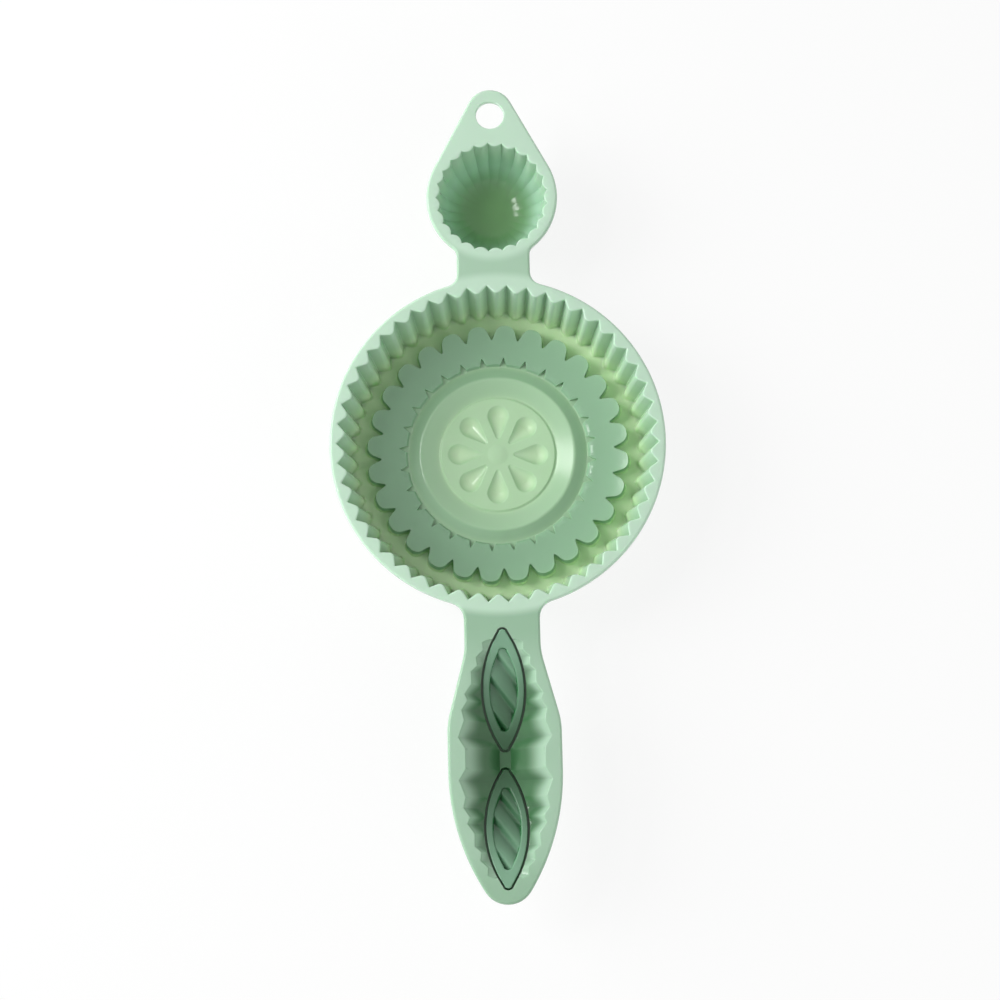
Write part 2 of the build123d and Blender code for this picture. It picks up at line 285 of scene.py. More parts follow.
lamps = [
    softbox("key_lamp", turn=289, tilt=37.5, distance=1.0, size=(0.38, 0.20), power=2.2, mirrored=True),
    softbox("side_lamp", turn=283, tilt=61, distance=1.0, size=(0.60, 0.50), power=9.3, mirrored=False),
    softbox("fill_lamp", turn=122, tilt=30, distance=1.1, size=(0.34, 0.36), power=0.8, mirrored=False),
    softbox("low_lamp", turn=132, tilt=62, distance=1.0, size=(0.60, 0.50), power=2.0, mirrored=False),
]
print("lamps:", ", ".join(lamp.name for lamp in lamps))

# %% [markdown]
# ## The plastic
#
# The moulding is a glossy, slightly milky pale green. Light goes a little way in and comes out
# again, so the base has some subsurface scattering. The rest is what any moulding has: faint
# clouds in the colour, a gloss that is not quite even, and a very shallow waviness that makes
# reflections tremble. All three are noise, laid on in the object's own coordinates, so that
# nothing shows a seam.

# %% Mould plastic
plate_top = cad_high.z / mm
cloud_scale = 60.0
wave_scale = 160.0
speck_scale = 900.0
speck_height = 0.12
wave_depth = 0.0004
wave_strength = 0.12
gloss_roughness = 0.11
cloud_roughness = 0.08
speck_roughness = 0.04
refraction = 1.49
milkiness = 0.4
milk_colour_reach = (0.7, 1.0, 0.7)
milk_depth = 0.0016


def mould_plastic(name, colour_by_place):
    """Glossy milky plastic; colour_by_place(bench, place, clouds) gives its colour."""
    bench = Bench(bpy.data.materials.new(name))
    place = bench.node("ShaderNodeTexCoord", out=3)
    clouds = bench.noise(place, cloud_scale, detail=3.0)
    specks = bench.noise(place, speck_scale, detail=2.0)
    waves = bench.noise(place, wave_scale, detail=1.0)
    bump = bench.node("ShaderNodeBump", None, {
        "Strength": wave_strength,
        "Distance": wave_depth,
        "Height": waves + specks * speck_height,
    })
    plastic = bench.node("ShaderNodeBsdfPrincipled", None, {
        "Base Color": colour_by_place(bench, place, clouds),
        "Roughness": gloss_roughness + clouds * cloud_roughness + (specks - 0.5) * speck_roughness,
        "Normal": bump,
        "IOR": refraction,
        "Subsurface Weight": milkiness,
        "Subsurface Radius": milk_colour_reach,
        "Subsurface Scale": milk_depth,
    })
    bench.node("ShaderNodeOutputMaterial", None, {"Surface": plastic})
    return bench.owner


print("the plate's top lies at", round(plate_top, 2), "mm")

# %% [markdown]
# ## Greens by place
#
# The green is not the same everywhere, and most of what changes is painted light and painted
# shade. The plate is pale. Low in the dish, where the moulding stands on a white table, the green
# is yellower and the moat lighter: painted light for light that comes through from below. The
# ring of lobes, the cup's bowl and the handle's trough, which have air or a second wall below
# them, are darker: painted shade. The colour could be painted on the mesh, but a mask written as
# a distance is sharp at any size: how far a point lies from the dish's axis, from the cup's axis,
# along the handle and below the plate.

# %% Greens and distances
pale_green = (0.52, 0.71, 0.56, 1.0)
# Painted light: a yellower green lower down, for light that comes through from the table.
painted_through_light_green = (0.50, 0.72, 0.45, 1.0)
# A darker green: painted shade wherever the masks below lean to it, and the tone the clouds lean to.
shade_and_cloud_green = (0.25, 0.43, 0.28, 1.0)
# Painted shade: the very dark green of the narrow gaps round the leaves.
gap_painted_shade_green = (0.015, 0.17, 0.04, 1.0)
cup_centre_y = 82.8
trough_middle_y = -103.0


def from_axis(bench, place, axis_y):
    """Distance from an upright axis that crosses the paddle's middle line, in millimetres."""
    flat = bench.node("ShaderNodeVectorMath", {"operation": "MULTIPLY"}, {0: place, 1: (1, 1, 0)})
    ends = {0: flat, 1: (0, axis_y * mm, 0)}
    return bench.node("ShaderNodeVectorMath", {"operation": "DISTANCE"}, ends, out=1) / mm


def facing_up(bench):
    """1 on faces that look up, 0 on upright ones, -1 on those that look down."""
    return bench.axis(bench.node("ShaderNodeNewGeometry", out=1), "Z")


class Spot:
    """Where a point of the moulding lies, as wires in millimetres, and how far it faces up."""

    def __init__(self, bench, place):
        self.across, self.along, self.height = (bench.axis(place, letter) / mm for letter in "XYZ")
        self.drop = plate_top - self.height
        self.from_dish = from_axis(bench, place, 0)
        self.from_cup = from_axis(bench, place, cup_centre_y)
        self.from_middle = self.along.away_from(trough_middle_y)
        self.from_keel = self.across.away_from(0.0)
        self.rise = facing_up(bench)


print("masks are measured from y =", (0, cup_centre_y, trough_middle_y), "mm")

# %% [markdown]
# In the dish, the moat and the petals are lightest: painted light. The disc, the conical ring,
# its crest and the ring of lobes are darker step by step, and so are the grooves between the
# flutes: painted shade. Each pair of numbers says where a mask starts to change and where it has
# changed, in millimetres from the dish's axis, in height or below the plate.

# %% Greens of the dish
# Painted light: lighter greens for the moat and the petals.
moat_painted_light_green = (0.70, 0.90, 0.58, 1.0)
petal_painted_light_green = (0.58, 0.77, 0.50, 1.0)
moat_start = (38.0, 44.0)
moat_fading = (1.0, 14.0)
disc_end = (18.0, 19.0)
petal_fading = (3.2, 4.6)
petal_share = 0.55
flute_draft = 8.0
# Painted shade in the grooves between the flutes, deepening with the drop.
groove_start = (50.4, 52.6)
groove_end = (53.0, 53.6)
groove_deepening = (0.2, 1.6)
groove_share = 0.5
# Painted shade on the disc, the conical ring, its crest and the lobes, darker step by step.
disc_painted_shade = 0.14
painted_shade_from = (((19.0, 20.5), 0.34), ((25.2, 26.6), 0.2), ((29.6, 30.4), 0.28))
lobes_end = (43.6, 44.6)
relief_heights = (3.0, 5.0)


def dish_layers(spot):
    """Shares and greens of the painted light on the moat and the petals, and of the painted shade in the
    grooves and on the relief.
    """
    in_moat = spot.from_dish.ramp(*moat_start) * (1 - spot.height.ramp(*moat_fading))
    on_disc = 1 - spot.from_dish.ramp(*disc_end)
    in_petal = on_disc * (1 - spot.height.ramp(*petal_fading)) * petal_share
    at_wall = spot.from_dish + spot.drop * tan(radians(flute_draft))
    in_groove = at_wall.ramp(*groove_start) * (1 - at_wall.ramp(*groove_end))
    in_groove = in_groove * spot.drop.ramp(*groove_deepening) * groove_share
    # painted shade of the relief, summed step by step
    relief_shade = disc_painted_shade
    for span, more in painted_shade_from:
        relief_shade = relief_shade + spot.from_dish.ramp(*span) * more
    on_relief = relief_shade * (1 - spot.from_dish.ramp(*lobes_end)) * spot.height.ramp(*relief_heights)
    return [
        (in_moat, moat_painted_light_green),
        (in_petal, petal_painted_light_green),
        (on_relief.largest(in_groove), shade_and_cloud_green),
    ]


print("the relief grows duller in", len(painted_shade_from), "steps")

# %% [markdown]
# The cup is a deep bowl. Its sides take a slightly bluer and darker green, and its floor a much
# darker and fuller one: both are painted shade.

# %% Greens of the cup
# Painted shade: a slightly darker, bluer green on the sides, a dark one on the floor.
cup_side_painted_shade_green = (0.46, 0.70, 0.53, 1.0)
cup_floor_painted_shade_green = (0.18, 0.38, 0.14, 1.0)
cup_end = (17.5, 20.0)
bowl_side_drops = (3.0, 15.0)
bowl_drops = (15.0, 22.5)


def cup_layers(spot):
    """Shares and greens of the painted shade on the cup's sides and floor."""
    in_cup = 1 - spot.from_cup.ramp(*cup_end)
    return [
        (in_cup * spot.drop.ramp(*bowl_side_drops), cup_side_painted_shade_green),
        (in_cup * spot.drop.ramp(*bowl_drops), cup_floor_painted_shade_green),
    ]


print("the cup's floor is dark from", bowl_drops[1], "mm down")

# %% [markdown]
# The necks and the handle are darker than the dish's plate, and in the trough the green deepens
# with every millimetre, most of all in the valleys between its folds and beside its lowest line.
# All of this is painted shade.

# %% Greens of the handle
# Painted shade: darker greens for the trough and for its valleys and keel.
trough_painted_shade_green = (0.045, 0.15, 0.055, 1.0)
valley_painted_shade_green = (0.03, 0.12, 0.04, 1.0)
dish_clear = (54.6, 58.0)
cup_clear = (19.5, 23.0)
past_cup = (70.0, 90.0)
handle_end = (25.0, 43.0)
past_handle = (-20.0, 20.0)
# Painted shade on the necks and the handle, more towards the handle's ends.
neck_painted_shade = 0.52
end_painted_shade = 0.28
trough_drops = (0.4, 5.0)
groove_places = (6.85, 15.7, 20.8, 28.0, 32.6, 37.3)
valley_width = 3.4
valley_drops = (0.3, 4.0)
valley_share = 0.6
keel_fading_along = (1.5, 7.0)
keel_fading_across = (2.0, 6.0)
keel_share = 0.75


def handle_layers(spot):
    """Shares and greens of the painted shade on the necks and the handle, the trough, its valleys and
    its keel.
    """
    in_neck = spot.from_dish.ramp(*dish_clear) * spot.from_cup.ramp(*cup_clear)
    in_neck = in_neck * (1 - spot.along.ramp(*past_cup))
    at_end = spot.from_middle.ramp(*handle_end) * (1 - spot.along.ramp(*past_handle))
    in_valley = 0.0
    for groove in groove_places:
        off_groove = spot.from_middle.away_from(groove).ramp(0.0, valley_width)
        in_valley = (1 - off_groove).largest(in_valley)
    in_valley = in_neck * in_valley * spot.drop.ramp(*valley_drops)
    beside_keel = 1 - spot.from_keel.ramp(*keel_fading_across)
    at_keel = (1 - spot.from_middle.ramp(*keel_fading_along)) * beside_keel
    return [
        (in_neck * (neck_painted_shade + at_end * end_painted_shade), shade_and_cloud_green),
        (in_neck * spot.drop.ramp(*trough_drops), trough_painted_shade_green),
        ((in_valley * valley_share).largest(at_keel * keel_share), valley_painted_shade_green),
    ]


print("valleys on each side of the trough's middle:", len(groove_places))

# %% [markdown]
# The layers are laid over each other, only where the shell faces up: its underside stays plain.
# The walls of the leaves' pockets come last. They show as a thin outline round the leaves and
# are painted a very dark green, painted shade for the deep, narrow gap. They are found by what
# they are, upright and inside a lens that narrows towards the ends of the handle, which also
# keeps the mask off the handle's own edge.

# %% Colour of the moulding
moulding_depth = 26.0
cloud_blur = 0.2
cloud_dullness = 0.08
upward_rise = (-0.06, 0.06)
upright_rise = (0.25, 0.4)
lens_middle = 22.0
lens_slant = 0.35
lens_half_width = (10.0, 11.0)
lens_reach = (43.0, 44.0)


def depth_share(drop, clouds, full_depth):
    """0 at the plate's top and 1 at the full depth, blurred a little by the clouds."""
    return (drop / full_depth + (clouds - 0.5) * cloud_blur).ramp(0.0, 1.0)


def in_pocket(spot):
    """1 on the upright walls near the leaves."""
    upright = 1 - spot.rise.away_from(0.0).ramp(*upright_rise)
    out_of_lens = spot.from_keel + (spot.from_middle - lens_middle) * lens_slant
    in_lens = 1 - out_of_lens.ramp(*lens_half_width)
    return upright * in_lens * (1 - spot.from_middle.ramp(*lens_reach))


def moulding_colour(bench, place, clouds):
    """Colour of the shell: pale, and another green in each place, as painted light and painted shade."""
    spot = Spot(bench, place)
    upward = spot.rise.ramp(*upward_rise)
    # painted light: the green turns yellower with depth
    colour = bench.tint(depth_share(spot.drop, clouds, moulding_depth), pale_green, painted_through_light_green)
    for share, green in dish_layers(spot) + cup_layers(spot) + handle_layers(spot):
        colour = bench.tint(share * upward, colour, green)
    # painted shade on the pocket walls round the leaves
    colour = bench.tint(in_pocket(spot), colour, gap_painted_shade_green)
    return bench.tint(clouds * cloud_dullness, colour, shade_and_cloud_green)


mint = mould_plastic("mint_plastic", moulding_colour)
print("material:", mint.name, "of", len(mint.node_tree.nodes), "nodes")

# %% [markdown]
# The leaves are the same plastic in a deeper green. They slope down towards the middle of the
# trough, and their green darkens with the drop: painted shade. Their upright edges take the
# painted shade of the gap, which makes the outline on both sides of it.

# %% Deep green of the leaves
tip_green = (0.20, 0.38, 0.25, 1.0)
# Painted shade: the green the leaves darken to towards the trough's middle.
keel_painted_shade_green = (0.01, 0.08, 0.02, 1.0)
leaf_drop = 9.5
leaf_edge_rise = (0.2, 0.6)


def leaf_colour(bench, place, clouds):
    """Colour of a leaf: painted shade, darker towards the trough's middle and dark on its upright edges.
    """
    drop = plate_top - bench.axis(place, "Z") / mm
    green = bench.tint(depth_share(drop, clouds, leaf_drop), tip_green, keel_painted_shade_green)
    return bench.tint(facing_up(bench).ramp(*leaf_edge_rise), gap_painted_shade_green, green)


leaf_green = mould_plastic("deep_green_plastic", leaf_colour)
print("material:", leaf_green.name, "of", len(leaf_green.node_tree.nodes), "nodes")

# %% [markdown]
# ## Outlines
#
# Nearly every edge of the mould is a closed outline with corners: flutes, lobes, serrations.
# Two helpers make them all. One moves every side of a polygon outwards by the same distance,
# which gives the rim and the foot of a wall. The other replaces each corner with an arc. The
# count of points never changes with the size, so outlines at different heights join into walls.


# %% Points, arcs and moved sides
def polar(radius, turn):
    """Points at a radius, turned clockwise from +Y, in degrees."""
    turn = np.radians(turn)
    return np.stack(np.broadcast_arrays(radius * np.sin(turn), radius * np.cos(turn)), axis=-1)


def circle(radius, count, centre=(0, 0)):
    """Round outline of a count of points."""
    return polar(radius, np.arange(count) * 360 / count) + np.array(centre)


def arc(centre, radius, start, end, steps):
    """Points of an arc, its ends in degrees from +X, and the direction of each from the centre."""
    angles = np.radians(np.linspace(start, end, steps + 1))
    direction = np.stack([np.cos(angles), np.sin(angles)], axis=-1)
    return np.array(centre) + radius * direction, direction


def grown(corners, out):
    """Clockwise polygon with every side moved outwards by the same distance."""
    corners = np.asarray(corners, float)
    side = np.roll(corners, -1, axis=0) - corners
    side /= np.linalg.norm(side, axis=1)[:, None]
    normal = np.stack([-side[:, 1], side[:, 0]], axis=-1)
    before = np.roll(normal, 1, axis=0)
    lift = (normal + before) / (1 + np.sum(normal * before, axis=1))[:, None]
    return corners + lift * out


square = [(1, 1), (1, -1), (-1, -1), (-1, 1)]
print("a square of 2 mm grown by 0.1 spans", np.ptp(grown(square, 0.1), axis=0))

# %% [markdown]
# No moulded corner is quite sharp. Blender's bevel could round them on the finished mesh, but it
# changes the count of points where an edge is short. Here each corner becomes an arc of a fixed
# count of points, whatever its radius, and points can be added along the straight sides.

# %% Rounded corners
nearly_straight = radians(89.9)


def rounded_corner(corner, before, after, radius, steps):
    """Arc that replaces a corner, between the directions to its two neighbours."""
    half = np.arccos(np.clip(before @ after, -1, 1)) / 2
    if radius <= 0 or half > nearly_straight:
        return [corner] * (steps + 1)
    middle = corner + (before + after) / np.linalg.norm(before + after) * radius / sin(half)
    first = corner + before * radius / tan(half) - middle
    last = corner + after * radius / tan(half) - middle
    sweep = pi - 2 * half
    points = []
    for step in range(steps + 1):
        share = step / steps
        spoke = sin((1 - share) * sweep) * first + sin(share * sweep) * last
        points.append(middle + spoke / sin(sweep))
    return points


def round_off(corners, radii, steps, between=None, closed=True):
    """Outline with rounded corners, and with a count of points between one corner and the next."""
    corners = np.asarray(corners, float)
    count = len(corners)
    between = between or [0] * count
    arcs = []
    for index in range(count):
        if not closed and index in (0, count - 1):
            arcs.append([corners[index]])
            continue
        before = corners[index - 1] - corners[index]
        after = corners[(index + 1) % count] - corners[index]
        before = before / np.linalg.norm(before)
        after = after / np.linalg.norm(after)
        arcs.append(rounded_corner(corners[index], before, after, radii[index], steps[index]))
    points = []
    for index in range(count if closed else count - 1):
        points.extend(arcs[index])
        start = arcs[index][-1]
        end = arcs[(index + 1) % count][0]
        for extra in range(between[index]):
            points.append(start + (end - start) * (extra + 1) / (between[index] + 1))
    if not closed:
        points.extend(arcs[-1])
    return np.array(points)


print("a square with rounded corners has", len(round_off(square, [0.2] * 4, [4] * 4)), "points")

# %% [markdown]
# ## Skins
#
# A moulding has no loose sheets: each of its surfaces runs on into the next, round the rim and
# along the underside, until the skin is closed. It could be made by thickening a sheet, but the
# flutes would pinch. So it is gathered as rings of points. A wall is a band of quads between two
# rings of the same count, and a flat stretch between rings of any count is filled with
# triangles. At the end the skin is checked: a closed one has no open edge.


# %% A skin made of rings
class Skin:
    """Points and faces of one closed surface, in millimetres."""

    inside_only = 1
    closest = 1e-6
    seam = 1e-7

    def __init__(self):
        self.points = []
        self.faces = []

    def ring(self, outline, height):
        """Adds a run of points, all at one height or each at its own."""
        start = len(self.points)
        heights = np.broadcast_to(height, len(outline))
        for (x, y), z in zip(outline, heights):
            self.points.append((float(x), float(y), float(z)))
        return list(range(start, len(self.points)))

    def band(self, ring, other, closed=True):
        """Joins two rings, or two open runs, of the same count with quads."""
        for index in range(len(ring) if closed else len(ring) - 1):
            after = (index + 1) % len(ring)
            self.faces.append((ring[index], ring[after], other[after], other[index]))

    def wall(self, stations):
        """Rings at each (outline, height), joined in turn; gives the first and the last ring."""
        rings = [self.ring(outline, height) for outline, height in stations]
        for ring, other in zip(rings, rings[1:]):
            self.band(ring, other)
        return rings[0], rings[-1]

    def fill(self, *loops, folds=()):
        """Fills between a ring and those inside it; folds are edges that the filling keeps."""
        members = [index for loop in loops for index in loop]
        place = {index: order for order, index in enumerate(members)}
        flat = [Vector(self.points[index][:2]) for index in members]
        edges = [(place[a], place[b]) for loop in loops for a, b in zip(loop, loop[1:] + loop[:1])]
        kept = edges + [(place[a], place[b]) for a, b in folds]
        filled = delaunay_2d_cdt(flat, kept, [], self.inside_only, self.closest)
        triangles = np.array([[filled[3][corner][0] for corner in face] for face in filled[2]])
        for triangle in triangles[self.enclosed(np.array(flat), triangles, np.array(edges))]:
            self.faces.append([members[corner] for corner in triangle])

    @staticmethod
    def enclosed(flat, triangles, edges):
        """Which triangles lie inside: a line from their middle crosses an odd count of edges."""
        middle = flat[triangles].mean(axis=1)[:, None]
        start, end = flat[edges].transpose(1, 0, 2)
        spans = (start[:, 1] > middle[..., 1]) != (end[:, 1] > middle[..., 1])
        with np.errstate(divide="ignore", invalid="ignore"):
            slope = (end[:, 0] - start[:, 0]) / (end[:, 1] - start[:, 1])
            crossed = middle[..., 0] < start[:, 0] + (middle[..., 1] - start[:, 1]) * slope
        return np.sum(spans & crossed, axis=1) % 2 == 1

    def build(self, name, material):
        """Makes the object, closes its seams and turns every face outwards."""
        mesh = bpy.data.meshes.new(name)
        mesh.from_pydata([(x * mm, y * mm, z * mm) for x, y, z in self.points], [], self.faces)
        shape = bmesh.new()
        shape.from_mesh(mesh)
        bmesh.ops.remove_doubles(shape, verts=shape.verts, dist=self.seam)
        bmesh.ops.recalc_face_normals(shape, faces=shape.faces)
        open_edges = [edge for edge in shape.edges if not edge.is_manifold]
        print(name, "has", len(shape.faces), "faces and", len(open_edges), "open edges")
        shape.to_mesh(mesh)
        shape.free()
        mesh.materials.append(material)
        piece = bpy.data.objects.new(name, mesh)
        bpy.context.scene.collection.objects.link(piece)
        return piece


def quarter(radius, steps=3):
    """Quarter round: how far along and how far down each of its points lies."""
    for step in range(steps + 1):
        angle = pi / 2 * step / steps
        yield radius * (1 - sin(angle)), radius * (1 - cos(angle))


def draw(depth, angle):
    """How far a drafted wall leans over a depth."""
    return depth * tan(radians(angle))


body = Skin()
print("a wall of 20 mm with a draft of 8 degrees leans", round(draw(20, 8), 2), "mm")

# %% [markdown]
# ## The dish's fluted wall
#
# Fifty flutes run down the wall of the dish. Seen from above they are a zigzag: sharp grooves
# that point outwards and rounded ribs between them. The wall leans in as it goes down so that
# the cake lets go. The same zigzag, a wall thickness further out, is the outside of the dish.

# %% Wall thickness, dish and flutes
wall = 2.0
plate_thickness = 2.2
plate_bottom = plate_top - plate_thickness
moat = wall
dish_plate_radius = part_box("cake_dish")[1].x / mm
flute_count = 50
flute_turn = 4.6
flute_tip_radius = 52.7
flute_rib_radius = 49.6
flute_rib_round = 1.6
flute_groove_round = 0.25
flute_steps = [3, 7]
rim_round = 0.45
foot_round = 0.6
thinnest_round = 0.05


def flutes(height, out, tip_round, rib_round, steps):
    """Zigzag outline of the flutes at a height, moved outwards."""
    lean = draw(plate_top - height, flute_draft)
    step = 360 / flute_count
    corners = []
    for index in range(flute_count):
        corners.append(polar(flute_tip_radius - lean, flute_turn + index * step))
        corners.append(polar(flute_rib_radius - lean, flute_turn + (index + 0.5) * step))
    radii = [max(tip_round + out, thinnest_round), max(rib_round - out, thinnest_round)]
    return round_off(grown(corners, out), radii * flute_count, steps * flute_count)


def inner_flutes(height, out):
    """Outline of the inside of the wall at a height, with that height."""
    return flutes(height, out, flute_groove_round, flute_rib_round, flute_steps), height


stations = [inner_flutes(plate_top - down, out) for out, down in quarter(rim_round)]
for share in (0.25, 0.5, 0.75):
    stations.append(inner_flutes(plate_top - share * (plate_top - moat), 0))
stations += [inner_flutes(moat + rise, -inwards) for rise, inwards in quarter(foot_round)]
dish_rim, moat_outside = body.wall(stations)
print("fluted wall:", len(dish_rim), "columns from", plate_top, "down to", moat)

# %% [markdown]
# ## The ring of lobes
#
# Inside a flat moat stands a ring with 28 lobes. Its top sags a little between its crest and
# its inner edge, and that edge carries 28 small nicks, one in the middle of each lobe. The
# lobes' outline and the nicked edge have the same count of points, so the top is a band of
# columns from one to the other whose height follows from the distance to the dish's centre.

# %% Lobes
lobe_count = 28
lobe_turn = -1.7
lobe_radius = 43.4
lobe_notch_radius = 38.3
lobe_notch_half_width = 2.3
lobe_round = 3.0
lobe_notch_round = 0.35
lobe_steps = [3, 7, 7]
lobe_between = [2, 3, 2]
lobe_draft = 8.0
crest_height = 6.0
lobe_foot_round = 0.3
ring_inner_radius = 30.6
ring_inner_height = 3.4
ring_sag = 0.4
lobe_step = 360 / lobe_count
lobe_half_mouth = degrees(lobe_notch_half_width / lobe_radius)


def ring_height(outline):
    """Height of the ring's sagging top over each point of an outline."""
    radius = np.linalg.norm(outline, axis=1)
    share = (radius - ring_inner_radius) / (lobe_radius - ring_inner_radius)
    chord = ring_inner_height + share * (crest_height - ring_inner_height)
    return moat + chord - 4 * ring_sag * share * (1 - share)


def lobes(height, out):
    """Outline of the lobes at a height, moved outwards; each lobe starts past its notch's middle."""
    lean = draw(moat + crest_height - height, lobe_draft)
    corners = []
    for index in range(lobe_count):
        turn = lobe_turn + index * lobe_step
        corners.append(polar(lobe_notch_radius + lean, turn))
        corners.append(polar(lobe_radius + lean, turn + lobe_half_mouth))
        corners.append(polar(lobe_radius + lean, turn + lobe_step - lobe_half_mouth))
    radii = [max(lobe_notch_round - out, thinnest_round), lobe_round + out, lobe_round + out]
    corners = grown(corners, out)
    outline = round_off(corners, radii * lobe_count, lobe_steps * lobe_count, lobe_between * lobe_count)
    return np.roll(outline, -(lobe_steps[0] + 1) // 2, axis=0)


lobe_stations = []
for rise, out in quarter(lobe_foot_round, steps=2):
    lobe_stations.insert(0, (lobes(moat + rise, out), moat + rise))
print("lobes:", len(lobe_stations[0][0]), "columns")

# %% [markdown]
# The wall of the lobes rises from that foot. Its columns are not all of one height, because the
# sagging top is lower over the notches, so each ring of the wall stands at a share of the height
# of its own column. A rounded crest leads over to the top.

# %% Wall and crest of the lobes
crest_round = 0.8
wall_top = lobes(moat + crest_height, 0)
wall_heights = ring_height(wall_top) - crest_round - moat
for share in (0.35, 0.7):
    heights = np.minimum(moat + share * crest_height, moat + share * wall_heights)
    lobe_stations.append((lobes(moat + share * crest_height, 0), heights))
for along, down in reversed(list(quarter(crest_round, steps=4))):
    outline = lobes(moat + crest_height, along - crest_round)
    lobe_stations.append((outline, ring_height(outline) - down))
print("lobe wall and crest:", len(lobe_stations), "rings")

# %% [markdown]
# The nicks are wedges cut down to the valley beside the ring. Their outline is written by the
# turn of each column from the middle of its lobe: the middle column lies in the nick's point,
# the third beyond it at its mouth, and the rest share out what is left of the edge.

# %% Nicked inner edge
nick_depth = 2.2
nick_half_width = 1.0
nick_edge_round = 0.14
nick_turns = (0, 0.15, 0.55, 1, 1.3)
nick_slopes = (0.1, 0.55)
valley_radius = 30.0
valley_height = 2.2
columns = len(wall_top) // lobe_count
reach = (columns - 1) // 2
nick_back_half = nick_half_width * (1 + (ring_inner_radius - valley_radius) / nick_depth)


def nicked(radius, mouth_half, point_radius):
    """Edge at a radius with a wedge of this half width at its mouth, up to its point."""
    mouth = degrees(mouth_half / radius)
    turns = [share * mouth for share in nick_turns]
    slope = [point_radius - share * (point_radius - radius) for share in nick_slopes]
    reaches = [point_radius, *slope, radius, radius]
    last_turn = turns[-1]
    spare = reach - len(turns) + 1
    for index in range(spare):
        turns.append(last_turn + (lobe_step / 2 - last_turn) * (index + 0.5) / spare)
        reaches.append(radius)
    outline = []
    for index in range(lobe_count):
        middle = lobe_turn + (index + 0.5) * lobe_step
        for column in range(-reach, reach + 1):
            side = -1 if column < 0 else 1
            outline.append(polar(reaches[abs(column)], middle + side * turns[abs(column)]))
    return np.array(outline)


nick_point = ring_inner_radius + nick_depth
edge = nicked(ring_inner_radius, nick_half_width, nick_point)
edge_top = nicked(*(size + nick_edge_round for size in (ring_inner_radius, nick_half_width, nick_point)))
valley_edge = nicked(valley_radius, nick_back_half, nick_point)
crest_inside = lobe_stations[-1][0]
for share in (0.12, 0.28, 0.46, 0.64, 0.82, 1.0):
    outline = crest_inside + (edge_top - crest_inside) * share
    lobe_stations.append((outline, ring_height(outline)))
lobe_stations.append((edge, ring_height(edge) - nick_edge_round))
lobe_stations.append((valley_edge, moat + valley_height))
moat_inside, valley_outside = body.wall(lobe_stations)
body.fill(moat_outside, moat_inside)
print("ring of lobes:", len(lobe_stations), "rings of", len(edge), "points")

# %% [markdown]
# ## Conical ring and disc
#
# From the valley a smooth conical ring rises and falls again to a small step, on which the
# centre disc lies. These are plain turned shapes, so each is a profile of (radius, height)
# pairs that is carried round the centre.

# %% Conical ring
band_radius = 25.6
band_height = 4.0
band_round = 1.5
cone_foot_radius = 19.5
cone_foot_height = 2.15
cone_foot_round = 0.6
disc_radius = 18.9
disc_height = 2.7
disc_edge_round = 0.6
disc_flat = 1.0
valley_floor_width = 0.3
valley_rim_width = 0.08
turned_count = 168

ring_profile = round_off(
    [
        (valley_radius - valley_floor_width, valley_height),
        (valley_radius - valley_floor_width - valley_rim_width, valley_height),
        (band_radius, band_height),
        (cone_foot_radius, cone_foot_height),
        (disc_radius, disc_height),
        (disc_radius - disc_flat, disc_height),
    ],
    radii=[0, 0, band_round, cone_foot_round, disc_edge_round, 0],
    steps=[0, 0, 6, 3, 3, 0],
    closed=False,
)
stations = [(circle(radius, turned_count), moat + height) for radius, height in ring_profile]
valley_inside, disc_rim = body.wall(stations)
body.fill(valley_outside, valley_inside)
print("conical ring:", len(stations), "rings of", turned_count)

# %% [markdown]
# Eight petals are sunk in the disc like the bowls of small spoons. The plan of each is two
# unequal circles with their common tangents. Its floor is a dimple: every point slides from the
# outline towards the petal's spine, and sinks as the square of the way.

# %% Petals
petal_count = 8
petal_turn = 1.4
petal_outer_reach = 16.7
petal_inner_reach = 5.2
petal_wide_half = 3.6
petal_narrow_half = 0.8
petal_depth = 1.7
petal_narrow_depth = 0.35
petal_rim = 0.18
petal_ways = (0.97, 0.9, 0.8, 0.66, 0.5, 0.3, 0.12, 0)
petal_wide_steps = 16
petal_narrow_steps = 8
petal_side_steps = 5
disc_top = moat + disc_height


def petal(index, wide_half, narrow_half, out):
    """Outline of a petal, the matching points of its spine, and how far out they lie."""
    narrow_x = petal_inner_reach + petal_narrow_half
    wide_x = petal_outer_reach - petal_wide_half
    lean = degrees(atan((wide_half - narrow_half) / (wide_x - narrow_x)))
    wide, _ = arc((wide_x, 0), wide_half + out, -90 - lean, 90 + lean, petal_wide_steps)
    narrow, _ = arc((narrow_x, 0), narrow_half + out, 90 + lean, 270 - lean, petal_narrow_steps)
    side = np.linspace(0, 1, petal_side_steps + 1)[1:-1]
    inwards = wide[-1] + (narrow[0] - wide[-1]) * side[:, None]
    outwards = narrow[-1] + (wide[0] - narrow[-1]) * side[:, None]
    points = np.concatenate([wide, inwards, narrow, outwards])
    shares = np.concatenate([np.ones(len(wide)), 1 - side, np.zeros(len(narrow)), side])
    centres = np.stack([narrow_x + shares * (wide_x - narrow_x), np.zeros(len(shares))], axis=-1)
    turn = radians(90 - petal_turn - index * 360 / petal_count)
    rotate = np.array([(cos(turn), sin(turn)), (-sin(turn), cos(turn))])
    return points @ rotate, centres @ rotate, shares


def sink_petal(index, wide_half, narrow_half, level):
    """Adds the dimple of one petal below a level; gives its rim."""
    points, centres, shares = petal(index, wide_half, narrow_half, 0)
    depth = petal_narrow_depth + shares * (petal_depth - petal_narrow_depth)
    stations = [(petal(index, wide_half, narrow_half, petal_rim)[0], level)]
    for way in petal_ways:
        stations.append((centres + (points - centres) * way, level - depth * (1 - way**2)))
    return body.wall(stations)[0]


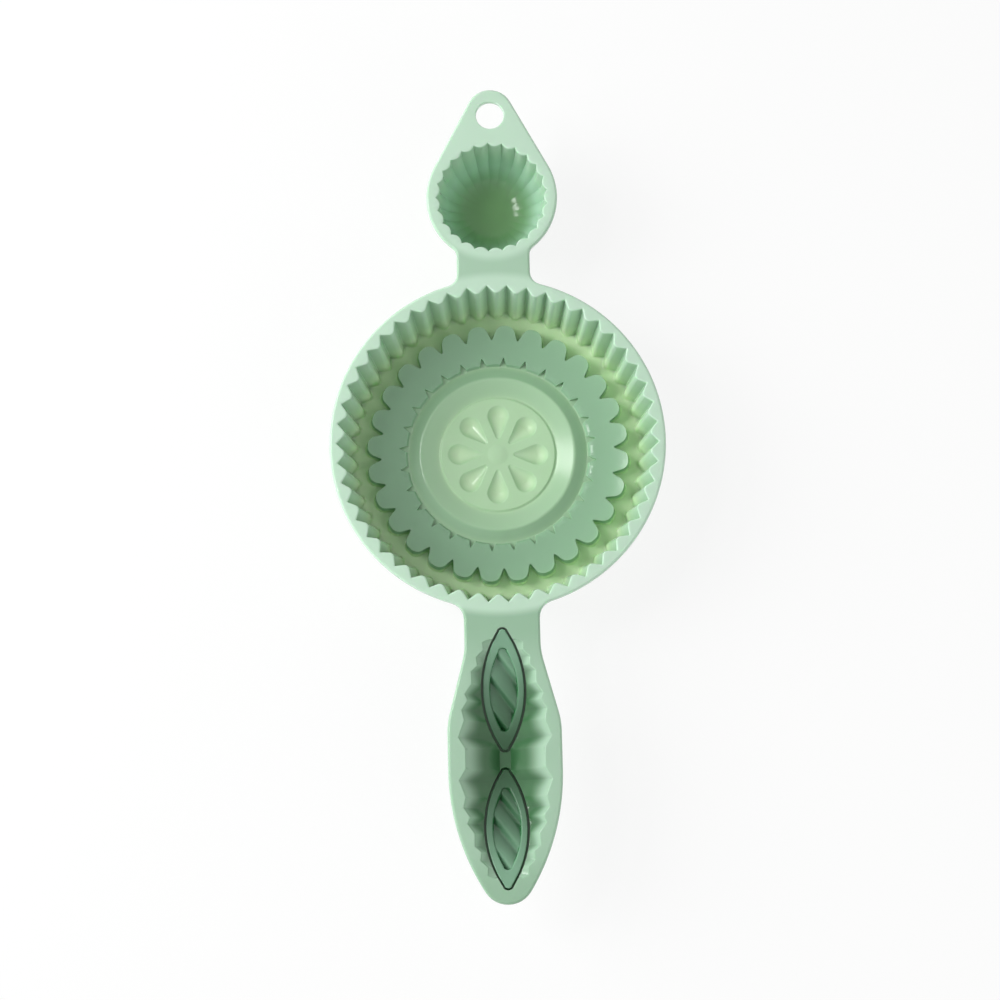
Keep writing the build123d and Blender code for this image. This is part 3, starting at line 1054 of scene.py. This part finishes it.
petal_rims = []
for index in range(petal_count):
    petal_rims.append(sink_petal(index, petal_wide_half, petal_narrow_half, disc_top))
print("petals:", len(petal_rims), "rims of", len(petal_rims[0]), "points")

# %% [markdown]
# Between the petals' inner ends the disc swells to a low hub. It is turned like the conical
# ring, with a bell for its profile, and then the disc's flat face is filled around it.

# %% Hub and face of the disc
hub_radius = 3.8
hub_rise = 0.4
hub_fullness = 1.8
hub_points = 48
stations = []
for share in (1.0, 0.9, 0.75, 0.6, 0.45, 0.3, 0.15):
    swell = (1 + cos(pi * share**hub_fullness)) / 2
    stations.append((circle(hub_radius * share, hub_points), disc_top + hub_rise * swell))
hub_foot, hub_top = body.wall(stations)
body.fill(hub_top)
body.fill(disc_rim, hub_foot, *petal_rims)
print("hub:", len(stations), "rings of", hub_points)

# %% [markdown]
# ## The underside of the dish
#
# A moulding keeps one wall thickness, so its underside repeats what is on top: the flutes again
# on the outside, a foot ring that the dish stands on, and inside it a hollow that follows the
# lobes, the conical ring and the petals one wall lower. The photograph doesn't show it.

# %% Outside of the dish
outer_tip_round = wall
outer_rib_round = 0.4
outer_steps = [6, 2]
base_round = 0.8
under_fillet = 0.2


def outer_flutes(height, out):
    """Outline of the outside of the wall at a height, with that height."""
    tip_round = outer_tip_round - wall
    rib_round = outer_rib_round + wall
    return flutes(height, wall + out, tip_round, rib_round, outer_steps), height


stations = [outer_flutes(plate_bottom - down, out) for out, down in quarter(under_fillet, steps=2)]
for share in (0.35, 0.7):
    stations.append(outer_flutes(plate_bottom * (1 - share), 0))
stations += [outer_flutes(rise, -inwards) for rise, inwards in quarter(base_round)]
dish_under_rim, base_outside = body.wall(stations)
print("outside of the dish:", len(dish_under_rim), "columns")

# %% [markdown]
# The hollow follows the lobes as a plain zigzag, since rounded lobes moved in by a wall are
# nearly that. Its ceiling is the ring's top less a wall. From there the columns run on inwards
# under the conical ring, each straight towards the centre.

# %% Hollow under the relief
lobe_side = (lobe_radius + lobe_notch_radius) / 2 * sin(pi / lobe_count)
lobe_flank = atan(lobe_side / (lobe_radius - lobe_notch_radius))
hollow_tip = lobe_radius - wall
hollow_notch = lobe_notch_radius - wall / sin(lobe_flank)
hollow_tip_round = 1.0
hollow_notch_round = 2.0
hollow_steps = [5, 4]
hollow_rim_round = 0.4
hollow_wall_height = 1.2
hollow_top_round = 0.8


def hollow(height, out):
    """Zigzag outline of the hollow at a height, moved outwards."""
    lean = draw(moat + crest_height - height, lobe_draft)
    corners = []
    for index in range(lobe_count):
        turn = lobe_turn + index * lobe_step
        corners.append(polar(hollow_notch + lean, turn))
        corners.append(polar(hollow_tip + lean, turn + lobe_step / 2))
    radii = [hollow_notch_round - out, max(hollow_tip_round + out, thinnest_round)]
    return round_off(grown(corners, out), radii * lobe_count, hollow_steps * lobe_count)


stations = [(hollow(rise, out), rise) for out, rise in quarter(hollow_rim_round, steps=2)]
stations.append((hollow(hollow_wall_height, 0), hollow_wall_height))
for down, inwards in quarter(hollow_top_round):
    outline = hollow(moat + crest_height, -inwards)
    stations.append((outline, ring_height(outline) - wall - down))
ceiling_edge = stations[-1][0]
turns = np.degrees(np.arctan2(ceiling_edge[:, 0], ceiling_edge[:, 1]))
for share in (0.3, 0.65, 1.0):
    outline = ceiling_edge + (polar(ring_inner_radius, turns) - ceiling_edge) * share
    stations.append((outline, ring_height(outline) - wall))
for radius, height in ring_profile[:-1]:
    stations.append((polar(radius, turns), moat + height - wall))
base_inside, under_disc = body.wall(stations)
body.fill(base_outside, base_inside)
print("hollow:", len(stations), "rings of", len(turns), "points")

# %% [markdown]
# Below the disc each petal is a bulge. It is the same dimple again, a wall lower and wider by
# what a wall adds to the ball that makes it.


# %% Underside of the disc
def swollen(half_width, depth):
    """Half width of a dimple's far side, one wall outside the ball that makes the dimple."""
    ball = (half_width**2 + depth**2) / (2 * depth)
    return sqrt((ball + wall) ** 2 - (ball - depth + wall) ** 2)


under_level = disc_top - wall
under_wide_half = swollen(petal_wide_half, petal_depth)
under_narrow_half = swollen(petal_narrow_half, petal_narrow_depth)
under_rims = []
for index in range(petal_count):
    under_rims.append(sink_petal(index, under_wide_half, under_narrow_half, under_level))
body.fill(under_disc, *under_rims)
print("underside of the disc at", round(under_level, 2))

# %% [markdown]
# ## The small cup
#
# The cup is a bowl with 25 scallops: ribs that bulge inwards, with a sharp groove between each
# two. In polar form a scallop is only the groove's radius less a parabola. The bowl's profile
# is fuller than a quarter of an ellipse: a power of 2 in its formula would give the ellipse, and
# a higher one keeps the sides steep and the floor broad. The ribs fade on the way down.

# %% Cup
cup_centre = np.array((0, cup_centre_y))
cup_flute_count = 25
cup_flute_turn = -2.7
cup_tip_radius = 18.5
cup_rib_depth = 1.15
cup_depth = 22.0
cup_roundness = 2.8
cup_rib_fading = 2.2
cup_columns = 16
cup_angles = (1.5, 4, 8, 13, 19, 26, 33, 40, 47, 54, 61, 68, 74, 79, 83, 86, 88.5)


def scallops(tip, rib_depth, columns):
    """Outline with grooves at the tip radius and ribs bulging inwards between them."""
    step = 360 / cup_flute_count
    outline = []
    for index in range(cup_flute_count):
        for column in range(columns):
            share = column / columns
            dip = 1 - (2 * share - 1) ** 2
            outline.append(polar(tip - rib_depth * dip, cup_flute_turn + (index + share) * step))
    return np.array(outline) + cup_centre


def bowl_ring(angle, grow, rib_depth, columns):
    """Ring of the bowl, grown by a wall or not, at an angle down its rounded side."""
    tip = (cup_tip_radius + grow) * cos(radians(angle)) ** (2 / cup_roundness)
    height = plate_top - (cup_depth + grow) * sin(radians(angle)) ** (2 / cup_roundness)
    fade = cos(radians(angle)) ** cup_rib_fading
    return scallops(tip, rib_depth * fade, columns), height


stations = []
for out, down in quarter(rim_round):
    stations.append((scallops(cup_tip_radius + out, cup_rib_depth, cup_columns), plate_top - down))
for angle in cup_angles:
    stations.append(bowl_ring(angle, 0, cup_rib_depth, cup_columns))
cup_rim, cup_floor = body.wall(stations)
body.fill(cup_floor)
print("inside of the cup:", len(stations), "rings of", len(cup_rim), "points")

# %% [markdown]
# Outside, the cup is the same bowl one wall larger. Its ribs are half as deep, because a
# parabola moved outwards gets shallower, and half the columns are enough for them.

# %% Outside of the cup
outer_rib_depth = cup_rib_depth / 2
outer_columns = 8
outer_angles = (2.2, 6, 13, 22, 33, 44, 54, 64, 73, 80, 85, 88.5)
flare = scallops(cup_tip_radius + wall + under_fillet, outer_rib_depth, outer_columns)
stations = [(flare, plate_bottom)]
for angle in outer_angles:
    stations.append(bowl_ring(angle, wall, outer_rib_depth, outer_columns))
cup_under_rim, cup_foot = body.wall(stations)
body.fill(cup_foot)
print("outside of the cup:", len(stations), "rings of", len(cup_under_rim), "points")

# %% [markdown]
# ## The trough in the handle
#
# The handle is a third mould, shaped like a boat. Its rim is serrated, and the serrations run
# down its sloping sides and fade out at the leaves that make its floor. So every ring of the
# trough is a mix of two outlines: the serrated rim above and the smooth edge of the floor below.
# Places along it are measured from its middle.

# %% Trough sizes
trough_half_width = 15.05
trough_side_radius = 84.3
trough_depth = 9.0
trough_foot_half = 1.8
trough_foot_margin = 0.4
trough_end = 38.2
trough_floor_end = 41.6
rib_places = (3.35, 12.3, 18.7, 24.0, 29.9, 34.8)
middle_rib_height = 2.4
rib_height = 1.4
leaf_length = 39.6
leaf_width = 13.6
leaf_clearance = 0.3
floor_rise = trough_depth / trough_floor_end
floor_slope = atan(floor_rise)
leaf_middle = trough_floor_end - leaf_length / 2 * cos(floor_slope)
keel_half = 2.6
keel_places = (-keel_half, -keel_half / 2, 0.0, keel_half / 2, keel_half)


def envelope(place):
    """Half width of the smooth boat outline at a place along the trough."""
    return trough_half_width - trough_side_radius + np.sqrt(trough_side_radius**2 - place**2)


def foot_half(place):
    """Half width of the floor, which is hardly wider than the leaf on it."""
    along = (np.abs(place) - leaf_middle) / cos(floor_slope)
    side_radius = (leaf_length**2 + leaf_width**2) / (4 * leaf_width)
    leaf_half = leaf_width / 2 - side_radius + np.sqrt(side_radius**2 - along**2)
    return np.maximum(leaf_half + leaf_clearance + trough_foot_margin, trough_foot_half)


def floor_height(place):
    """Height of the trough's floor at a place along it, rounded at its lowest line."""
    bend = np.maximum(keel_half - np.abs(place), 0) ** 2 / (2 * keel_half)
    return plate_top - trough_depth + (np.abs(place) + bend) * floor_rise


print("the floors slope by", round(degrees(floor_slope), 1), "degrees")

# %% [markdown]
# The rim's corners are grooves on the smooth boat outline and ribs a little inside it. One
# quarter of them is written down, and mirrored twice. Plain points between the two middle ribs
# carry the rounding of the lowest line.

# %% Serrated rim
serration_round = 0.5
serration_steps = 3
side_between = 2
end_between = 5
end_half = envelope(trough_end) - rib_height


def serrated_corners():
    """Corners of the rim, clockwise from the dish end: (place, half width, 1 if it is rounded)."""
    middle_half = envelope(rib_places[0]) - middle_rib_height
    quadrant = [(place, envelope(place), 1) for place in groove_places]
    quadrant.append((rib_places[0], middle_half, 1))
    quadrant += [(place, envelope(place) - rib_height, 1) for place in rib_places[1:]]
    quadrant.append((trough_end, end_half, 1))
    mirrored = [(-place, half, kind) for place, half, kind in quadrant]
    middle = [(place, middle_half, 0) for place in keel_places]
    right = sorted(quadrant + mirrored + middle, reverse=True)
    return right + [(place, -half, kind) for place, half, kind in reversed(right)]


def trough_rim_outline(out):
    """Rounded serrated rim, moved outwards; x is across and y is along from the middle."""
    corners = serrated_corners()
    radii = [serration_round * kind for place, half, kind in corners]
    steps = [serration_steps * kind for place, half, kind in corners]
    between = [side_between] * len(corners)
    between[len(corners) // 2 - 1] = end_between
    between[-1] = end_between
    return round_off(grown([(half, place) for place, half, kind in corners], out), radii, steps, between)


trough_edge = trough_rim_outline(0)
print("serrated rim:", len(trough_edge), "points")

# %% [markdown]
# A column of the trough leads from its point on the rim to its point on the floor's edge. What
# the rim's point has beyond the smooth outline is its serration. It stays nearly whole on the
# way down and fades at the floor, which makes the folds of the sides.

# %% Trough surface
trough_shares = (0.1, 0.22, 0.36, 0.5, 0.64, 0.78, 0.9, 1.0)
hollow_power = 1.12
fold_power = 5
rim_drop_share = 0.3
edge_x, edge_y = trough_edge.T
near_end = np.abs(edge_y) > (trough_end + groove_places[-1]) / 2
smooth_x = np.sign(edge_x) * (envelope(edge_y) - rib_height / 2)
serration = np.where(near_end, 0, edge_x - smooth_x)
foot_x = edge_x / np.where(near_end, end_half, np.abs(edge_x)) * foot_half(edge_y)
depths = plate_top - floor_height(edge_y)
rim_drops = np.minimum(rim_round, rim_drop_share * depths)
middle_of_trough = np.array((0, trough_middle_y))

stations = []
for out, down in quarter(rim_round):
    heights = plate_top - rim_drops * down / rim_round
    stations.append((trough_rim_outline(out) + middle_of_trough, heights))
for share in trough_shares:
    across = edge_x + (foot_x - edge_x) * share
    across += serration * (share - share**fold_power)
    outline = np.stack([across, edge_y], axis=-1) + middle_of_trough
    fallen = 1 - (1 - share) ** hollow_power
    stations.append((outline, plate_top - rim_drops - (depths - rim_drops) * fallen))
trough_rim, trough_floor = body.wall(stations)
folds = []
for place in keel_places:
    on_line = np.abs(edge_y - place) < Skin.closest
    folds.append(tuple(np.array(trough_floor)[on_line].tolist()))
body.fill(trough_floor, folds=folds)
print("trough: at most", round(float(depths.max()), 2), "mm deep, with", len(folds), "folds at its keel")

# %% [markdown]
# Under the trough hangs its hull. It is smoother than the inside: cross-sections with rounded
# bilges, from one end to the other, each closed against the underside of the plate. The last
# one at each end is a flat line in the plate, so that the hull closes without an edge.

# %% Hull
leaf_thickness = 2.2
belly_drop = (leaf_thickness + wall) / cos(floor_slope)
belly_end = trough_floor_end + leaf_clearance + wall
belly_swell = 0.3
belly_margin = 0.8
belly_closing = 1.0
bilge_round = 2.2
bilge_share = 0.45
bilge_steps = 7
section_turns = range(0, 90, 6)


def hull_section(place):
    """Half cross-section of the hull, from the plate to the keel, as (across, height) pairs."""
    half = envelope(place) + belly_swell
    keel = float(floor_height(place)) - belly_drop
    low_half = float(foot_half(min(abs(place), trough_floor_end))) + belly_margin
    ease = min(bilge_round, bilge_share * (plate_bottom - keel))
    corners = [(half, plate_bottom), (low_half, keel), (0, keel)]
    return round_off(corners, [0, ease, 0], [0, bilge_steps, 0], [1, 1, 0], closed=False)


def closing_section(place):
    """The same count of points in a line along the underside of the plate."""
    section = hull_section(place)
    section[:, 0] = np.linspace(section[0][0] - belly_closing, 0, len(section))
    section[:, 1] = plate_bottom
    return section


half_places = [(belly_end - belly_closing) * cos(radians(turn)) for turn in section_turns]
places = [belly_end, *half_places, 0.0]
places += [-place for place in reversed(places[:-1])]
sections = []
for place in places:
    half = closing_section(place) if abs(place) == belly_end else hull_section(place)
    whole = np.concatenate([half, (half * (-1, 1))[-2::-1]])
    line = np.stack([whole[:, 0], np.full(len(whole), trough_middle_y + place)], axis=-1)
    sections.append(body.ring(line, whole[:, 1]))
for section, other in zip(sections, sections[1:]):
    body.band(section, other, closed=False)
hull_rim = [section[0] for section in sections] + sections[-1][1:]
hull_rim += [section[-1] for section in reversed(sections[:-1])] + sections[0][-2:0:-1]
print("hull:", len(sections), "sections of", len(sections[0]), "points")

# %% [markdown]
# ## The plate
#
# One flat plate ties the moulds together. Its outline is made of circles that meet in straight
# necks: the dish's, the cup's and the tab's, then the long sides of the handle. Each arc below
# is given by its centre, its radius and the turns between which it runs, down the right side
# only. The left side is its mirror image.

# %% Plate sizes
cup_plate_radius = 21.7
cup_neck_half = 24.1 / 2
cup_neck_fillet = 4.2
cup_corner_fillet = 3.2
tab_radius = 7.8
tab_centre_y = cad_high.y / mm - tab_radius
neck_half = 24.6 / 2
neck_fillet = 5.5
neck_start_y = -59.7
neck_end_y = -68.7
shoulder_y = -91.5
shoulder_round = 25.0
shoulder_steps = 6
handle_half_width = 18.4
handle_side_start_y = -107.0
handle_side_radius = 72.8
handle_tip_radius = 8.6
handle_tip_y = cad_low.y / mm + handle_tip_radius
degree_millimetres = 110
same_point = 1e-4


def plate_arc(centre, radius, start, end, outwards=1):
    """Arc of the plate with a step about every 2 mm; outwards is -1 round a hollow corner."""
    steps = int(abs(end - start) * radius / degree_millimetres) + 2
    points, direction = arc(centre, radius, start, end, steps)
    return points, direction * outwards


print("centres of the tab and of the handle's tip:", round(tab_centre_y, 2), round(handle_tip_y, 2))

# %% [markdown]
# Two circles joined by a fillet touch it on the line between the centres. So each fillet's
# centre follows from the two radii, and the turn where one arc ends is where the next begins.
# The handle's shoulder is the exception: it is a bent line with rounded corners, and its
# outward directions are read from the line itself.

# %% Plate outline
tab_turn = degrees(np.arcsin((cup_plate_radius - tab_radius) / (tab_centre_y - cup_centre_y)))
corner_x = cup_neck_half + cup_corner_fillet
corner_y = cup_centre_y - sqrt((cup_plate_radius + cup_corner_fillet) ** 2 - corner_x**2)
corner_turn = degrees(atan2(corner_y - cup_centre_y, corner_x))
neck_x = cup_neck_half + cup_neck_fillet
neck_y = sqrt((dish_plate_radius + cup_neck_fillet) ** 2 - neck_x**2)
neck_turn = degrees(atan2(neck_y, neck_x))
low_x = neck_half + neck_fillet
low_y = sqrt((dish_plate_radius + neck_fillet) ** 2 - low_x**2)
low_turn = degrees(atan2(low_y, low_x))
side_centre_x = handle_half_width - handle_side_radius
tip_drop = sqrt((handle_side_radius - handle_tip_radius) ** 2 - side_centre_x**2)
side_turn = degrees(atan2(tip_drop, -side_centre_x))

shoulder_corners = [(neck_half, neck_start_y), (neck_half, neck_end_y)]
shoulder_corners += [(handle_half_width, shoulder_y), (handle_half_width, handle_side_start_y)]
shoulder_radii = [0, shoulder_round, shoulder_round, 0]
shoulder_counts = [0, shoulder_steps, shoulder_steps, 0]
shoulder = round_off(shoulder_corners, shoulder_radii, shoulder_counts, closed=False)
shoulder_along = np.gradient(shoulder, axis=0)
shoulder_along /= np.linalg.norm(shoulder_along, axis=1)[:, None]
shoulder_out = np.stack([-shoulder_along[:, 1], shoulder_along[:, 0]], axis=-1)

runs = [
    plate_arc((0, tab_centre_y), tab_radius, 90, tab_turn),
    plate_arc(cup_centre, cup_plate_radius, tab_turn, corner_turn),
    plate_arc((corner_x, corner_y), cup_corner_fillet, corner_turn + 180, 180, outwards=-1),
    plate_arc((neck_x, neck_y), cup_neck_fillet, 180, neck_turn + 180, outwards=-1),
    plate_arc((0, 0), dish_plate_radius, neck_turn, -low_turn),
    plate_arc((low_x, -low_y), neck_fillet, 180 - low_turn, 180, outwards=-1),
    (shoulder[1:-1], shoulder_out[1:-1]),
    plate_arc((side_centre_x, handle_side_start_y), handle_side_radius, 0, -side_turn),
    plate_arc((0, handle_tip_y), handle_tip_radius, -side_turn, -90),
]
right_side = np.concatenate([points for points, out in runs])
right_out = np.concatenate([out for points, out in runs])
keep = np.ones(len(right_side), bool)
keep[1:] = np.linalg.norm(np.diff(right_side, axis=0), axis=1) > same_point
flip = np.array((-1, 1))
plate_points, plate_out = (
    np.concatenate([values[keep], (values[keep] * flip)[-2:0:-1]]) for values in (right_side, right_out)
)
print("plate outline:", len(plate_points), "points")

# %% [markdown]
# The plate's edge is rounded well at the top and a little below. With it and the hanging hole,
# every ring of the skin is there, and the top and the underside of the plate are filled between
# them. That closes the body.

# %% Plate faces
plate_edge_round = 0.9
plate_under_round = 0.3
hang_hole_radius = 4.6
hang_hole_y = 110.8
hole_points = 48
hole_round = 0.35
stations = []
for along, down in quarter(plate_edge_round, steps=5):
    stations.append((plate_points - plate_out * along, plate_top - down))
for rise, inwards in quarter(plate_under_round, steps=2):
    stations.append((plate_points - plate_out * inwards, plate_bottom + rise))
plate_top_edge, plate_under_edge = body.wall(stations)


def hole(out):
    """Outline of the hanging hole, moved outwards."""
    return circle(hang_hole_radius + out, hole_points, (0, hang_hole_y))


stations = [(hole(out), plate_top - down) for out, down in quarter(hole_round)]
stations += [(hole(out), plate_bottom + rise) for out, rise in reversed(list(quarter(hole_round)))]
hole_top, hole_under = body.wall(stations)
body.fill(plate_top_edge, dish_rim, cup_rim, trough_rim, hole_top)
body.fill(plate_under_edge, dish_under_rim, cup_under_rim, hull_rim, hole_under)
mould_body = body.build("mould_body", mint)
print("body box", [round(value, 2) for value in mould_body.dimensions / mm])

# %% [markdown]
# ## Leaves and their pockets
#
# Two leaves lie in pockets of the sloping floors, with a narrow gap all round that reads as a
# dark outline. A leaf is a lens of two arcs with rounded tips, drawn in its own frame with the
# rim at height 0, and turned onto its floor afterwards.

# %% Leaf outlines
leaf_tip_round = 1.6
lens_side_steps = 22
lens_tip_steps = 6


def lens(length, width, out):
    """Leaf outline of two arcs with rounded tips, lying along Y, moved outwards."""
    half_tip = 2 * atan(width / length)
    point = length / 2 + leaf_tip_round * (1 / sin(half_tip) - 1)
    side_radius = (point**2 + (width / 2) ** 2) / width
    centre_x = width / 2 - side_radius
    tip_y = point - leaf_tip_round / sin(half_tip)
    tangent = degrees(atan2(tip_y, -centre_x))
    long_side, _ = arc((centre_x, 0), side_radius + out, tangent, -tangent, lens_side_steps)
    tip, _ = arc((0, -tip_y), leaf_tip_round + out, -tangent, -90, lens_tip_steps)
    right = np.concatenate([(tip * (1, -1))[:0:-1], long_side, tip[1:]])
    return np.concatenate([right, (right * flip)[-2:0:-1]])


def leaf_frame(side):
    """Places a leaf on its floor: side 1 is at the dish end, -1 at the tip end."""
    height = plate_top - (trough_floor_end - leaf_middle) * floor_rise
    place = Vector((0, trough_middle_y + side * leaf_middle, height)) * mm
    return Matrix.Translation(place) @ Matrix.Rotation(floor_slope * side, 4, "X")


leaf_outline = lens(leaf_length, leaf_width, 0)
print("leaf outline:", len(leaf_outline), "points,", round(np.ptp(leaf_outline[:, 1]), 2), "mm long")

# %% [markdown]
# A pocket crosses the trough's floor, its end and the plate at once, so its edge would be hard
# to write down as a ring. It is cut out of the finished body with a boolean instead, whose
# result takes the place of the body's mesh.

# %% Pockets
pocket_growth = 0.55


def cut(piece, cutter):
    """Cuts one closed mesh out of another and removes the cutter."""
    modifier = piece.modifiers.new("cut", "BOOLEAN")
    modifier.operation = "DIFFERENCE"
    modifier.solver = "EXACT"
    modifier.object = cutter
    shown = piece.evaluated_get(bpy.context.evaluated_depsgraph_get())
    mesh = bpy.data.meshes.new_from_object(shown)
    piece.modifiers.clear()
    piece.data = mesh
    bpy.data.objects.remove(cutter)


for side in (1, -1):
    pocket = Skin()
    around = lens(leaf_length, leaf_width, pocket_growth)
    high, low = pocket.wall([(around, trough_depth), (around, -leaf_thickness)])
    pocket.fill(high)
    pocket.fill(low)
    cutter = pocket.build("pocket_cutter", mint)
    cutter.data.transform(leaf_frame(side))
    cut(mould_body, cutter)
print("body after the pockets:", len(mould_body.data.polygons), "faces")

# %% [markdown]
# A leaf has a flat rim, and inside it a sunken panel that is folded into slanting ridges, each
# steep on one side and bowed on the other. The fold has to be sharp, so the panel gets edges
# along the ridges' lines. They run from one side of its outline to the other, and the outline
# gets a point wherever a line crosses it.

# %% Ridges of the panel
panel_length = 27.0
panel_width = 9.0
panel_depth = 0.5
panel_draft = 0.2
ridge_pitch = 6.3
ridge_height = 1.5
ridge_turn = radians(36.0)
ridge_steep_share = 0.36
ridge_bow = 0.6
ridge_normal = np.array((cos(ridge_turn), sin(ridge_turn)))
lines_a_ridge = 16
lines_each_way = 80
line_numbers = range(-lines_each_way, lines_each_way + 1)
ridge_lines = [number * ridge_pitch / lines_a_ridge for number in line_numbers]


def ridge_drop(across):
    """Depth of the folded panel under the rim, across its ridges."""
    share = (-across / ridge_pitch) % 1
    fall = np.clip(share / ridge_steep_share, 0, 1)
    rise = np.clip((share - ridge_steep_share) / (1 - ridge_steep_share), 0, 1)
    bowed_rise = (1 - ridge_bow) * rise + ridge_bow * (1 - (1 - rise) ** 2)
    return panel_depth + ridge_height * (3 * fall**2 - 2 * fall**3 - bowed_rise)


def panel_stations():
    """Where the ridges' lines cross the panel's outline: side, share of it, and the crossings."""
    outline = lens(panel_length, panel_width, -panel_draft)
    across = outline @ ridge_normal
    sides = []
    shares = []
    crossings = {}
    for side in range(len(outline)):
        start = float(across[side])
        end = float(across[(side + 1) % len(outline)])
        sides.append(side)
        shares.append(0.0)
        found = [line for line in ridge_lines if (start - line) * (end - line) < 0]
        for line in sorted(found, reverse=start > end):
            crossings.setdefault(line, []).append(len(sides))
            sides.append(side)
            shares.append((line - start) / (end - start))
    return sides, np.array(shares)[:, None], [pair for pair in crossings.values() if len(pair) == 2]


panel_sides, panel_shares, panel_folds = panel_stations()


def panel_outline(out):
    """Panel outline moved outwards, with a point at each of its stations."""
    outline = lens(panel_length, panel_width, out)
    after = np.roll(outline, -1, axis=0)
    return outline[panel_sides] + (after[panel_sides] - outline[panel_sides]) * panel_shares


print("panel:", len(panel_sides), "points round it and", len(panel_folds), "lines across it")

# %% [markdown]
# The leaf is a skin of its own: a flat bottom, a wall, a rounded edge, the rim, a rounded step
# down and the folded panel. Both leaves are the same, and only their frames differ.

# %% Leaf inserts
leaf_edge_round = 0.4
leaf_shrink = 0.12
panel_edge_round = 0.6


def leaf_insert(name, side):
    """One leaf, in its own frame first, then turned onto its floor."""
    leaf = Skin()
    stations = [(lens(leaf_length, leaf_width, -leaf_shrink), -leaf_thickness)]
    for along, down in reversed(list(quarter(leaf_edge_round, steps=4))):
        stations.append((lens(leaf_length, leaf_width, -leaf_shrink - along), -down))
    bottom, rim = leaf.wall(stations)
    leaf.fill(bottom)
    stations = [(panel_outline(out), -down) for out, down in quarter(panel_edge_round)]
    outline = panel_outline(-panel_draft)
    stations.append((outline, -ridge_drop(outline @ ridge_normal)))
    panel_rim, panel_floor = leaf.wall(stations)
    leaf.fill(rim, panel_rim)
    leaf.fill(panel_floor, folds=[(panel_floor[a], panel_floor[b]) for a, b in panel_folds])
    piece = leaf.build(name, leaf_green)
    piece.data.transform(leaf_frame(side))
    return piece


upper_leaf = leaf_insert("upper_leaf", 1)
lower_leaf = leaf_insert("lower_leaf", -1)

# %% [markdown]
# ## Shading and the end
#
# Smooth shading rounds the facets of flutes and bowls, edges above an angle stay crisp, and
# weighted normals keep the flat plate flat up to its rounded edge. Then each piece rides on the
# part's one body and stands for the solids that it covers.

# %% Shading, riding and replacing
crease_angle = radians(42)
face_weight = 60


def finish_piece(piece, slot, *nodes):
    """Smooth shading with crisp creases, and the piece's place in the frame."""
    for face in piece.data.polygons:
        face.use_smooth = True
    piece.data.set_sharp_from_angle(angle=crease_angle)
    weighted = piece.modifiers.new("weighted_normals", "WEIGHTED_NORMAL")
    weighted.keep_sharp = True
    weighted.weight = face_weight
    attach(piece, "root")
    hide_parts(*nodes)
    print(piece.name, "stands for", ", ".join(nodes))


finish_piece(mould_body, "mould_plastic", "cake_dish", "small_cup", "hanging_tab", "handle")
finish_piece(upper_leaf, "leaf_plastic", "leaf_insert_dish_end")
finish_piece(lower_leaf, "leaf_plastic", "leaf_insert_tip_end")

# %% [markdown]
# Last, the box of the dressed part is written beside the box of the solids. The two agree when
# no piece has grown past the part or slipped out of its frame.

# %% Sizes and the end
low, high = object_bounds()
print("visual model reaches from", tuple(low), "to", tuple(high))
